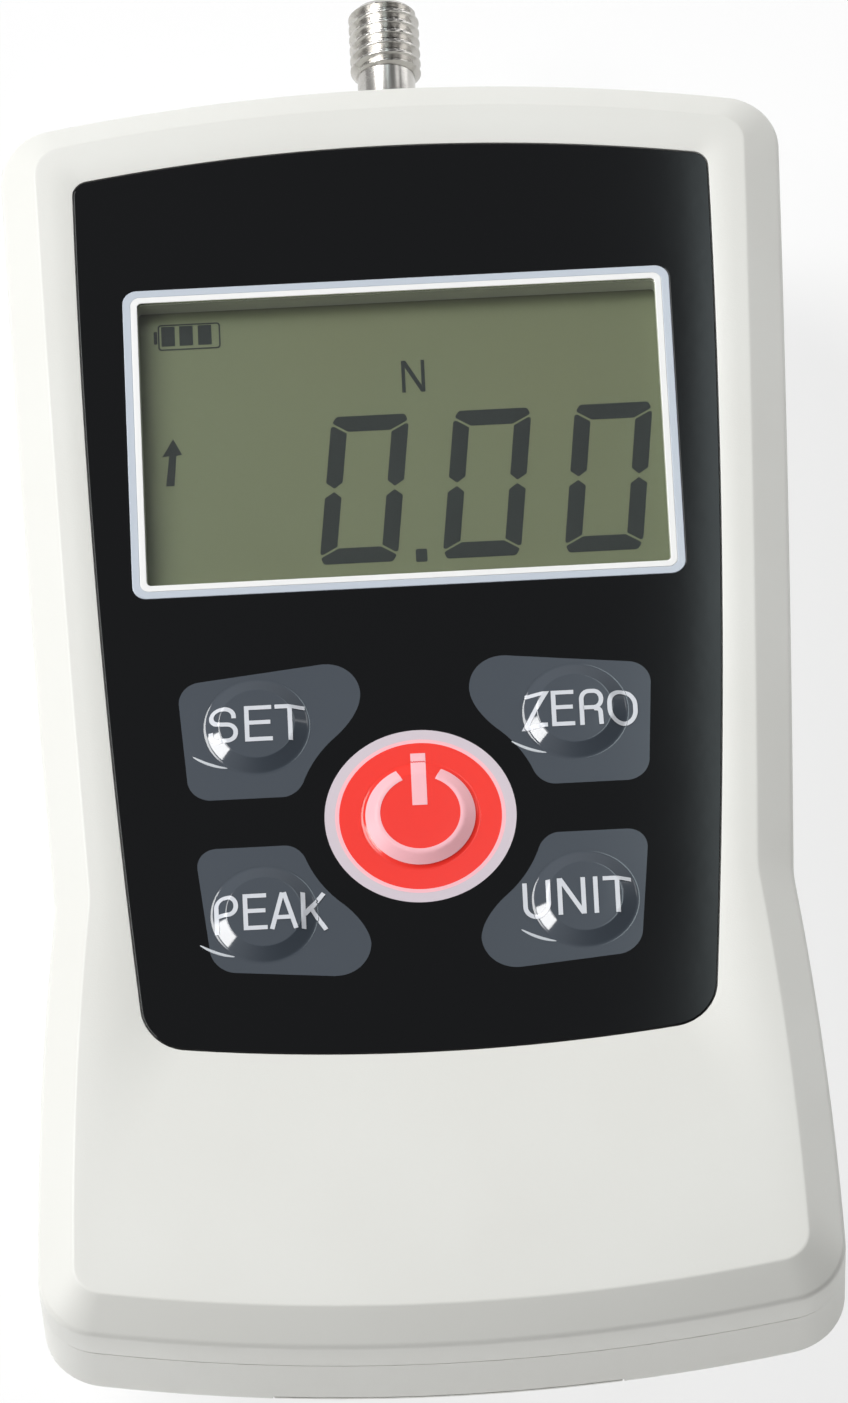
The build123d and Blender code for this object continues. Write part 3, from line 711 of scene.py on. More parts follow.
# ---- finishes --------------------------------------------------------------------
@dataclass(frozen=True)
class Finish:
    """One finish: a Principled surface whose tone, roughness and relief come from the shared groups."""

    name: str
    colour: Colour
    other: Colour
    roughness: float = 0.4
    roughness_span: float = 0.08
    metallic: float = 0.0
    specular: float = 0.5
    coat: float = 0.0
    tone_scale: float = 60.0
    relief: Effect = Effect.GRAIN
    relief_scale: float = 2500.0
    relief_height: float = 0.02
    transmission: float = 0.0

    def build(self) -> bpy.types.Material:
        """Make the node material.

        Returns:
            The material, ready for a slot.
        """
        material = bpy.data.materials.new(self.name)
        material.use_nodes = True
        tree = material.node_tree
        shader = tree.nodes["Principled BSDF"]
        tone = self._group(tree, Effect.TONE)
        tone.inputs["Colour"].default_value = (*self.colour, 1.0)
        tone.inputs["Other"].default_value = (*self.other, 1.0)
        tone.inputs["Scale"].default_value = self.tone_scale
        relief = self._group(tree, self.relief)
        if self.relief is Effect.SCRATCHES:
            relief.inputs["Across"].default_value = self.relief_scale
        else:
            relief.inputs["Scale"].default_value = self.relief_scale
        tree.links.new(tone.outputs["Colour"], shader.inputs["Base Color"])
        span = self.roughness_span
        ends = {"To Min": max(self.roughness - span, 0.02), "To Max": self.roughness + span}
        rough = add_node(tree, "MapRange", ends, Value=tone.outputs["Mask"])
        tree.links.new(rough.outputs["Result"], shader.inputs["Roughness"])
        bump = add_node(tree, "Bump", {"Strength": 1.0, "Distance": self.relief_height * MM},
                        Height=relief.outputs["Height"])
        tree.links.new(bump.outputs["Normal"], shader.inputs["Normal"])
        shader.inputs["Metallic"].default_value = self.metallic
        shader.inputs["Specular IOR Level"].default_value = self.specular
        shader.inputs["Coat Weight"].default_value = self.coat
        shader.inputs["Coat Roughness"].default_value = 0.04
        if self.transmission:
            self._clear(tree, shader)
        return material

    @staticmethod
    def _group(tree: bpy.types.NodeTree, effect: Effect) -> bpy.types.Node:
        """Place a shared group in a material."""
        node = tree.nodes.new("ShaderNodeGroup")
        node.node_tree = GROUPS[effect]
        return node

    def _clear(self, tree: bpy.types.NodeTree, shader: bpy.types.Node) -> None:
        """Let light through, and let lamps shine through without a shadow."""
        shader.inputs["Transmission Weight"].default_value = self.transmission
        shader.inputs["IOR"].default_value = 1.45
        path = add_node(tree, "LightPath").outputs
        clear = add_node(tree, "BsdfTransparent")
        either = add_node(tree, "Math:MAXIMUM", n0=path["Is Shadow Ray"], n1=path["Is Diffuse Ray"])
        mix = add_node(tree, "MixShader", n0=either.outputs[0], n1=shader.outputs[0], n2=clear.outputs[0])
        tree.links.new(mix.outputs[0], tree.nodes["Material Output"].inputs["Surface"])


CASE = Finish("case_plastic", (0.735, 0.735, 0.70), (0.715, 0.712, 0.675), 0.42, 0.05, relief_height=0.012)
FILM = Finish("overlay_film", (0.0034, 0.0038, 0.0046), (0.0030, 0.0034, 0.0042), 0.05, 0.01, specular=0.3,
              relief_scale=260.0, relief_height=0.0005, tone_scale=30.0)
KEY_FILM = Finish("key_film", (0.062, 0.075, 0.093), (0.054, 0.066, 0.083), 0.08, 0.02, specular=0.8,
                  relief_scale=260.0, relief_height=0.001)
RED_FILM = Finish("power_key_film", (0.95, 0.045, 0.03), (0.90, 0.035, 0.025), 0.14, 0.03,
                  relief_scale=260.0, relief_height=0.001)
PALE_INK = Finish("pale_ink", (0.66, 0.68, 0.72), (0.62, 0.64, 0.69), 0.2, 0.03,
                  relief_scale=400.0, relief_height=0.002)
RING_INK = Finish("ring_ink", (0.66, 0.58, 0.63), (0.62, 0.54, 0.60), 0.2, 0.03,
                  relief_scale=400.0, relief_height=0.002)
PINK_INK = Finish("pink_ink", (0.96, 0.53, 0.57), (0.93, 0.48, 0.53), 0.3, 0.03, specular=0.25,
                  relief_scale=400.0, relief_height=0.001)
# painted highlight: pale colour of the streaks that stand for the glints' tails beside the domes
GLINT_PAINT = Finish("stressed_film", (0.62, 0.65, 0.68), (0.54, 0.57, 0.61), 0.2, 0.03, relief_height=0.002)
# painted shade: bluish grey of the frame's outer band, the shaded side of the raised white frame
FRAME_SHADE_INK = Finish("frame_ink", (0.53, 0.58, 0.65), (0.50, 0.55, 0.62), 0.2, 0.03,
                   relief_scale=400.0, relief_height=0.002)
WHITE_INK = Finish("white_ink", (0.86, 0.86, 0.85), (0.82, 0.82, 0.82), 0.25, 0.03,
                   relief_scale=400.0, relief_height=0.002)
WINDOW = Finish("window_clear", (0.97, 0.98, 0.98), (0.96, 0.97, 0.97), 0.03, 0.01, transmission=1.0,
                relief_scale=200.0, relief_height=0.0)
LCD = Finish("display_glass", (0.130, 0.157, 0.088), (0.138, 0.148, 0.076), 0.36, 0.02, specular=0.15,
             relief_scale=1500.0, relief_height=0.003, tone_scale=14.0)
SEGMENT = Finish("segment_ink", (0.014, 0.020, 0.018), (0.012, 0.017, 0.016), 0.4, 0.04, specular=0.1,
                 relief_height=0.002)
# painted shade: dark olive grey of the lining in the display's opening, where the wall lies in shade
LINING_SHADE = Finish("gasket", (0.36, 0.38, 0.29), (0.32, 0.34, 0.26), 0.6, 0.06)
STEEL = Finish("stud_steel", (0.60, 0.585, 0.56), (0.50, 0.485, 0.46), 0.24, 0.07, 1.0,
               relief=Effect.SCRATCHES, relief_scale=9000.0, relief_height=0.008, tone_scale=220.0)
SCREW = Finish("screw_steel", (0.42, 0.42, 0.43), (0.34, 0.34, 0.36), 0.32, 0.08, 1.0, relief_height=0.01)
ALUMINIUM = Finish("sensor_aluminium", (0.70, 0.70, 0.71), (0.64, 0.64, 0.66), 0.34, 0.06, 1.0,
                   relief=Effect.SCRATCHES, relief_scale=7000.0, relief_height=0.008)
BRASS = Finish("insert_brass", (0.72, 0.53, 0.23), (0.62, 0.44, 0.18), 0.3, 0.08, 1.0, relief_height=0.01)
BLACK_PLASTIC = Finish("switch_plastic", (0.035, 0.035, 0.036), (0.028, 0.028, 0.03), 0.5, 0.08)
BOARD = Finish("circuit_board", (0.02, 0.13, 0.05), (0.03, 0.17, 0.07), 0.3, 0.06, tone_scale=420.0)
WHITE_PLASTIC = Finish("reflector_plastic", (0.82, 0.84, 0.82), (0.78, 0.8, 0.79), 0.5, 0.06)
HEADER = Finish("header_plastic", (0.76, 0.73, 0.64), (0.70, 0.67, 0.58), 0.45, 0.06)
ELASTOMER = Finish("elastomer", (0.30, 0.30, 0.31), (0.05, 0.05, 0.05), 0.6, 0.05, tone_scale=2200.0)
CHIP = Finish("chip_plastic", (0.022, 0.022, 0.023), (0.016, 0.016, 0.017), 0.42, 0.06)
CAN = Finish("capacitor_can", (0.60, 0.61, 0.63), (0.52, 0.53, 0.55), 0.26, 0.05, 1.0)
FOIL = Finish("gauge_foil", (0.60, 0.33, 0.08), (0.52, 0.27, 0.05), 0.3, 0.06, tone_scale=900.0)
JACKET = Finish("battery_jacket", (0.07, 0.08, 0.10), (0.055, 0.065, 0.085), 0.3, 0.06, 0.6)


class Paint:
    """Builds each finish once and lays it on pieces."""

    made: dict[str, bpy.types.Material] = {}

    @classmethod
    def on(cls, piece: bpy.types.Object, finish: Finish) -> None:
        """Give a piece one finish."""
        if finish.name not in cls.made:
            cls.made[finish.name] = finish.build()
        piece.data.materials.clear()
        piece.data.materials.append(cls.made[finish.name])


def place(piece: bpy.types.Object, body: str, finish: Finish, slot: str, nodes: tuple[str, ...] = ()) -> None:
    """Dress a piece, ride it on a body and hide the CAD nodes it stands for."""
    Paint.on(piece, finish)
    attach(piece, body)
    if nodes:
        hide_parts(*nodes)
    LOG.info("%s rides on %s, %d faces", piece.name, body, len(piece.data.polygons))


# ---- the case --------------------------------------------------------------------
@dataclass
class Cover:
    """Bevelled front half of the case."""

    bevel_width: float = 2.9
    bevel_depth: float = 1.8
    corner: float = 5.0
    face_corner: float = 2.6
    face_edge: float = 0.5
    bevel_edge: float = 0.8
    recess_edge: float = 0.12
    lip: float = 1.0
    clearance: float = 0.1
    posts: tuple = ((20.7, 37.225, 3.4), (21.0, -49.525, 3.4), (26.2, 29.525, 1.8), (22.8, -29.775, 1.8))

    def corner_at(self, inset: float) -> float:
        """Corner radius of the outline at an inset: straight from the rim's to the face's."""
        share = min(inset / self.bevel_width, 1.0)
        return self.corner + (self.face_corner - self.corner) * share

    def outer_rings(self) -> Array:
        """Rings up the wall, over the bevel and in across the face.

        Formula: a profile of inset and height, its two edges rounded, carried round the case
        outline; each ring is the outline at that inset and corner radius.
        """
        top = SIZES.thickness
        seam = top - SIZES.seam_depth + SIZES.seam_gap
        profile = rounded_profile(
            [(0.0, seam), (0.0, top - self.bevel_depth), (self.bevel_width, top), (3.9, top)],
            [0.0, self.bevel_edge, self.face_edge, 0.0],
            9,
        )
        profile = np.vstack([[0.06, seam], [0.02, seam + 0.02], [0.0, seam + 0.07], profile[1:]])
        return np.stack([lift(case_outline(inset, self.corner_at(inset)), z) for inset, z in profile])

    def build(self) -> None:
        """Shell as one closed ring, the recess floor as a pierced plate, and the posts inside."""
        top, floor = SIZES.thickness, SIZES.overlay_z
        under = top - SIZES.plate
        seam = top - SIZES.seam_depth + SIZES.seam_gap
        recess = [(self.clearance + self.recess_edge, top), (self.clearance + 0.03, top - 0.03),
                  (self.clearance, top - self.recess_edge), (self.clearance, floor), (self.clearance, under)]
        wall, lip = SIZES.wall, seam + self.lip
        inner = [(wall + 2.2, 3.0, under), (wall, 3.0, under - 1.4), (wall, 3.0, seam + 1.15),
                 (wall, 3.0, lip), (wall / 2, 4.1, lip), (wall / 2, 4.1, seam)]
        rings = [self.outer_rings()]
        rings.append(np.stack([lift(overlay_outline(margin), z) for margin, z in recess]))
        rings.append(np.stack([lift(case_outline(inset, corner), z) for inset, corner, z in inner]))
        skin = Surface()
        skin.add_rings(np.concatenate(rings), loop=True)
        for x, y, radius in self.posts:
            for side in (-1, 1):
                low = seam if radius > 3 else top - SIZES.plate - 2.5
                profile = np.array([[radius, low], [radius, under]])
                skin.add_rings(turned(profile, (side * x, y, 0.0), count=40), cap_start=True, cap_end=True)
        shell = skin.make("cover_skin")
        view = window_outline(2.4, 0.4)
        holes = [circle(key.centre, 1.9, 48) for key in Key]
        plate = flat_plate("cover_plate", [overlay_outline(0.12)[::2], view, *holes], under, floor)
        cover = join("front_cover", [shell, plate])
        place(cover, "case", CASE, "case_plastic", ("front_shell",))


@dataclass
class Tub:
    """Back half of the case, its battery door, screws and inserts."""

    screw_places: tuple = ((20.7, 37.225), (21.0, -49.525))
    insert_places: tuple = ((18.5, 23.025), (18.5, -36.975))
    screw_head: float = 2.2
    screw_face: float = 4.6
    screw_depth: float = 1.5
    insert_outer: float = 2.5
    insert_bore: float = 1.65
    insert_length: float = 6.0
    rim_z: float = 15.2
    hull_rows: tuple = (
        (1.0, 0.0), (0.875, 0.9), (0.69, 3.4), (0.5, 5.2), (0.25, 6.4), (0.075, 7.4), (0.0, 9.2)
    )

    def build(self) -> None:
        """Dress the shell and the door, and make the screws and the inserts."""
        for node, name, body in (("rear_shell", "rear_tub", "case"), ("battery_door", "bay_door", "door")):
            shell = smooth_copy(node, name)
            shell.modifiers.clear()
            hull_normals(shell, self.rim_z, self.hull_rows)
            place(shell, body, CASE, "case_plastic", (node,))
        place(self.screws(), "case", SCREW, "screw_steel", ("case_screws",))
        place(self.inserts(), "case", BRASS, "insert_brass", ("mount_inserts",))

    def screws(self) -> bpy.types.Object:
        """Pan heads with a cross recess, facing the back.

        Formula: the head is a surface of revolution whose face is pressed in by the recess
        depth where a point lies inside either arm of the cross.
        """
        surface = Surface()
        low = self.screw_face - self.screw_depth
        count = 96
        rim = self.screw_head - np.array([0.15, 0.05, 0.0, 0.0])
        radius = np.concatenate([np.linspace(0.001, 1.9, 40), rim])
        height = np.concatenate([np.full(40, low), [low + 0.05, low + 0.15, low + 0.35, self.screw_face]])
        rings = turned(np.column_stack([radius, height]), (0, 0, 0), count=count)
        x, y = rings[:40, :, 0], rings[:40, :, 1]
        x, y = np.abs(x), np.abs(y)
        arm = np.minimum(np.maximum(x / 0.28, y / 1.15), np.maximum(y / 0.28, x / 1.15))
        rings[:40, :, 2] += 0.75 * np.clip((1.12 - arm) / 0.24, 0, 1)
        shank = turned(np.array([[1.2, self.screw_face], [1.2, 24.88]]), (0, 0, 0), count=count)
        for sx, sy in self.screw_places:
            for side in (-1, 1):
                stack = np.concatenate([rings, shank]) + [side * sx, sy, 0]
                surface.add_rings(stack, cap_start=True, cap_end=True)
        return surface.make("back_screws")

    def inserts(self) -> bpy.types.Object:
        """Threaded bushes flush with the back.

        Formula: the bore's radius is the minor radius plus a rounded triangle wave of the
        height less the pitch times the share of a turn.
        """
        surface = Surface()
        count, pitch = 72, 0.7
        turn = np.arange(count) / count
        z = np.arange(0.0, self.insert_length + 0.001, pitch / 8)
        phase = (z[:, None] / pitch - turn[None, :]) % 1.0
        bore = self.insert_bore + 0.32 * (1 - np.abs(2 * phase - 1))
        bore[0], bore[-1] = self.insert_bore + 0.34, self.insert_bore + 0.34
        angle = turn * 2 * np.pi
        inner = np.stack([bore * np.cos(angle), bore * np.sin(angle), np.repeat(z[:, None], count, 1)], -1)
        wide, high = self.insert_outer, self.insert_length
        outline = np.array([[wide - 0.08, 0.0], [wide, 0.08], [wide, high - 0.08], [wide - 0.08, high]])
        outer = turned(outline, (0, 0, 0), count=count)
        stack = np.concatenate([outer, inner[::-1]])
        for sx, sy in self.insert_places:
            for side in (-1, 1):
                surface.add_rings(stack + [side * sx, sy, 0], loop=True)
        return surface.make("back_inserts", 35.0)


# ---- the face --------------------------------------------------------------------
def petal(key: Key) -> Array:
    """Outline of the printed zone round a key.

    Formula: the zero line of the largest of five fields, each two edges' overlap with a
    rounded corner: inner and top 3.2, outer corners 1.8, and both ends of the hollow edge,
    which is a circle of 10.05 about the red key.
    """
    upper = key in (Key.SET, Key.ZERO)

    def distance(x: Array, y: Array) -> Array:
        across = np.abs(x)
        inner = 4.45 - across
        if upper:
            outer = across - 19.32 + 0.065 * (-6.3 - y)
            far = (y + 3.72 + 0.11 * (across - 7.4)) * 0.994
            near = -15.65 - y
        else:
            outer = across - 18.3 + 0.103 * (-21.5 - y)
            far = (-32.0 + 0.09 * (across - 7.4) - y) * 0.996
            near = y + 20.05
        hollow = 10.05 - np.hypot(x, y - SIZES.power_y)
        corners = ((inner, far, 3.2), (outer, far, 1.8), (outer, near, 1.8), (near, hollow, 1.3),
                   (inner, hollow, 2.2))
        return np.maximum.reduce([round_corner(*corner) for corner in corners])

    return solve_outline(distance, 20.0, np.array(key.centre), np.linspace(0, 2 * np.pi, 240, endpoint=False))


@dataclass
class Panel:
    """Glossy face film with its printed zones, and the display's window."""

    film_clearance: float = 0.1
    print_clearance: float = 0.006
    ring_outer: float = 7.8
    ring_inner: float = 6.95
    disc_outer: float = 6.62

    def build(self) -> None:
        """Film, key zones, red key's rings, display frame and window."""
        low, top = SIZES.overlay_z, SIZES.thickness
        window = window_outline(-0.06, 1.23)
        holes = [circle(key.centre, key.radius + self.film_clearance) for key in Key]
        film = flat_plate("face_film", [overlay_outline(0.0), window, *holes], low, top, 0.06)
        place(film, "case", FILM, "overlay_film", ("graphic_overlay",))
        high = top + SIZES.print_rise
        for key in Key:
            if key is Key.POWER:
                continue
            hole = circle(key.centre, key.radius + self.print_clearance)
            zone = flat_plate(f"{key.value}_zone", [petal(key), hole], top - 0.1, high)
            place(zone, "case", KEY_FILM, "overlay_film")
        rings = (("power_disc", self.disc_outer, Key.POWER.radius + self.print_clearance, RED_FILM),
                 ("power_fringe", self.ring_inner, self.disc_outer, PINK_INK),
                 ("power_ring", self.ring_outer, self.ring_inner, RING_INK))
        for name, outer, inner, finish in rings:
            edges = [circle(Key.POWER.centre, radius, 200) for radius in (outer, inner)]
            ring = flat_plate(name, edges, top - 0.1, high)
            place(ring, "case", finish, "overlay_film")
        self.window(low, top)

    def window(self, low: float, top: float) -> None:
        """Frame of white print whose outer band is painted bluish grey as the shaded side of a raised frame,
        and the clear plate inside it.
        """
        outer, step, inner = window_outline(0.0, 1.2), window_outline(1.3, 0.75), window_outline(2.4, 0.4)
        clear = flat_plate("window_plate", [inner], low + 0.05, top - 0.03)
        place(clear, "case", WINDOW, "window_clear", ("display_window",))
        for name, edges, rise, finish in (("frame_outer", [outer, step], 0.01, FRAME_SHADE_INK),
                                          ("frame_inner", [step, inner], 0.02, WHITE_INK)):
            place(flat_plate(name, edges, low, top + rise, 0.05), "case", finish, "window_clear")


# ---- the display -----------------------------------------------------------------
@dataclass
class Display:
    """Olive display cell with its dark segments."""

    top: float = 24.9
    half_width: float = 23.15
    half_height: float = 14.85
    slant: float = 0.113
    digit_low: float = 6.47
    digit_height: float = 13.75
    digit_width: float = 6.45
    digit_lefts: tuple = (-7.35, 2.8, 12.85)
    stroke: float = 1.45
    gap: float = 0.16

    def build(self) -> None:
        """Cell, segments and the lining of the opening, whose dark olive grey is painted shade."""
        cell = Surface()
        x, y = self.half_width, self.half_height
        block = rounded_rectangle((0.0, SIZES.display_y), 2 * x, 2 * y, 0.3)
        levels = [(0.06, 23.2), (0.0, 23.26), (0.0, self.top - 0.06), (0.06, self.top)]
        middle = np.array([0.0, SIZES.display_y])
        rings = [lift(middle + (block - middle) * (1 - inset / x), z) for inset, z in levels]
        cell.add_rings(np.stack(rings), cap_start=True, cap_end=True)
        place(cell.make("display_cell"), "case", LCD, "display_glass", ("lcd_glass",))
        shapes = [shape for left in self.digit_lefts for shape in self.zero(left)]
        shapes += self.symbols()
        marks = flat_plate("display_marks", shapes, self.top, self.top + 0.02)
        place(marks, "case", SEGMENT, "display_glass")
        edges = [window_outline(2.38, 0.42), window_outline(2.5, 0.36)]
        # lining of the window's opening, coloured dark as painted shade
        place(flat_plate("display_lining", edges, 25.0, 26.54), "case", LINING_SHADE, "bezel_plastic")

    def zero(self, left: float) -> list[Array]:
        """Six slanted segments of a nought.

        Formula: each segment is a six or four sided bar in upright cell coordinates with
        mitred ends; x is then moved on by the slant times the height.
        """
        w, h, s, g = self.digit_width, self.digit_height, self.stroke, self.gap
        top = [(0.4, h), (w - 0.4, h), (w - 0.08, h - 0.6), (w - s - 0.05, h - s), (s + 0.05, h - s),
               (0.08, h - 0.6)]
        left_up = [(0, h - 0.6 - g), (s - g * 0.5, h - s - g), (s - g * 0.5, h / 2 + g + 0.55),
                   (s / 2, h / 2 + g), (0, h / 2 + g + 0.55)]
        ends = rounded_polygon(np.array(top, float), np.array([0.32, 0.32, 0.2, 0.05, 0.05, 0.2]), 6)
        side = rounded_polygon(np.array(left_up, float), np.array([0.2, 0.05, 0.12, 0.1, 0.12]), 6)
        shapes = [ends, side, np.column_stack([w - side[:, 0], side[:, 1]])]
        shapes += [np.column_stack([shape[:, 0], h - shape[:, 1]]) for shape in list(shapes)]
        return [np.column_stack([left + shape[:, 0] + self.slant * shape[:, 1], self.digit_low + shape[:, 1]])
                for shape in shapes]

    def symbols(self) -> list[Array]:
        """Point, unit letter, arrow, and the battery sign with its three bars."""
        dot = rounded_rectangle((1.1, 6.9), 0.95, 1.2, 0.15)
        letter = np.array([(0.15, 22.2), (0.45, 22.2), (0.45, 24.55), (1.72, 22.2), (2.08, 22.2),
                           (2.08, 25.2), (1.78, 25.2), (1.78, 22.85), (0.51, 25.2), (0.15, 25.2)])
        arrow = np.array([(-19.0, 18.9), (-19.95, 17.25), (-19.38, 17.32), (-19.72, 14.5), (-19.02, 14.5),
                          (-18.78, 17.32), (-18.3, 17.4)])
        shell = rounded_rectangle((-17.35, 28.5), 5.2, 2.45, 0.3)
        hollow = rounded_rectangle((-17.35, 28.5), 4.95, 2.2, 0.2)
        tip = rounded_rectangle((-20.15, 28.5), 0.3, 1.2, 0.1)
        bars = [rounded_rectangle((x, 28.6), 1.13, 1.85, 0.05) for x in (-19.1, -17.6, -16.05)]
        return [dot, letter, arrow, shell, hollow, tip, *bars]


# ---- the keys --------------------------------------------------------------------
OVER = 0.073
LETTERS: dict[str, tuple] = {
    "A": (0.93, ((((0.08, -OVER), (0.44, 1.06)), 0.0, False), (((0.85, -OVER), (0.49, 1.06)), 0.0, False),
                 (((0.2, 0.29), (0.73, 0.29)), 0.0, False))),
    "E": (0.93, ((((0.86, 1), (0.18, 1), (0.18, 0), (0.87, 0)), 0.0, False),
                 (((0.24, 0.53), (0.82, 0.53)), 0.0, False))),
    "I": (0.39, ((((0.195, -OVER), (0.195, 1 + OVER)), 0.0, False),)),
    "K": (0.93, ((((0.166, -OVER), (0.166, 1 + OVER)), 0.0, False),
                 (((0.83, 1 + OVER), (0.2, 0.36)), 0.0, False), (((0.42, 0.57), (0.87, -OVER)), 0.0, False))),
    "N": (1.0, ((((0.166, -OVER), (0.166, 1 + OVER)), 0.0, False),
                (((0.84, -OVER), (0.84, 1 + OVER)), 0.0, False),
                (((0.18, 1.05), (0.826, -0.05)), 0.0, False))),
    "O": (1.08, ((((0.115, 0), (0.97, 0), (0.97, 1), (0.115, 1)), 0.42, True),)),
    "P": (0.93, ((((0.18, -OVER), (0.18, 1), (0.81, 1), (0.81, 0.45), (0.24, 0.45)), 0.27, False),)),
    "R": (1.0, ((((0.183, -OVER), (0.183, 1), (0.84, 1), (0.84, 0.48), (0.24, 0.48)), 0.255, False),
                (((0.6, 0.44), (0.8, 0.42), (0.82, -OVER)), 0.12, False))),
    "S": (0.93, ((((0.76, 0.7), (0.76, 1), (0.15, 1), (0.15, 0.53),
                   (0.8, 0.5), (0.8, 0), (0.12, 0), (0.12, 0.32)), 0.24, False),)),
    "T": (0.85, ((((0.02, 1), (0.83, 1)), 0.0, False), (((0.425, 0.94), (0.425, -OVER)), 0.0, False))),
    "U": (1.0, ((((0.17, 1 + OVER), (0.17, 0), (0.837, 0), (0.837, 1 + OVER)), 0.33, False),)),
    "Z": (0.85, ((((0.08, 1), (0.77, 1), (0.06, 0), (0.81, 0)), 0.0, False),)),
}


def open_path(corners: tuple, radius: float, closed: bool) -> Array:
    """Centre line of a stroke: its corners rounded by one radius, or left sharp where it is zero."""
    points = np.array(corners, float)
    if not radius:
        return points
    if closed:
        return rounded_polygon(points, np.full(len(points), radius), 12)
    soft = rounded_polygon(points, np.full(len(points), radius), 12).reshape(len(points), 12, 2)
    middle = []
    for index in range(1, len(points) - 1):
        before, after = points[index] - points[index - 1], points[index + 1] - points[index]
        room = min(np.linalg.norm(before), np.linalg.norm(after))
        middle.append(soft[index] if room > radius * 0.9 else points[index : index + 1])
    return np.vstack([points[:1], *middle, points[-1:]])


def ribbon(path: Array, width: float, closed: bool) -> tuple[Array, Array]:
    """Flat strip of even width along a path.

    Formula: each point moves half the width to both sides along the mitre of its two
    neighbouring segments' normals.

    Args:
        path: centre line.
        width: width of the strip.
        closed: join the last point to the first.

    Returns:
        Points of the strip, and its quads.
    """
    step = np.roll(path, -1, 0) - path if closed else np.diff(path, axis=0)
    step = step / np.linalg.norm(step, axis=1, keepdims=True)
    normal = np.stack([-step[:, 1], step[:, 0]], 1)
    before = np.roll(normal, 1, 0) if closed else np.vstack([normal[:1], normal])
    after = normal if closed else np.vstack([normal, normal[-1:]])
    mitre = before + after
    mitre /= np.maximum((mitre * after).sum(1, keepdims=True), 0.35)
    count = len(path)
    points = np.vstack([path + mitre * width / 2, path - mitre * width / 2])
    low = np.arange(count if closed else count - 1)
    high = (low + 1) % count
    return points, np.stack([low, low + count, high + count, high], 1)


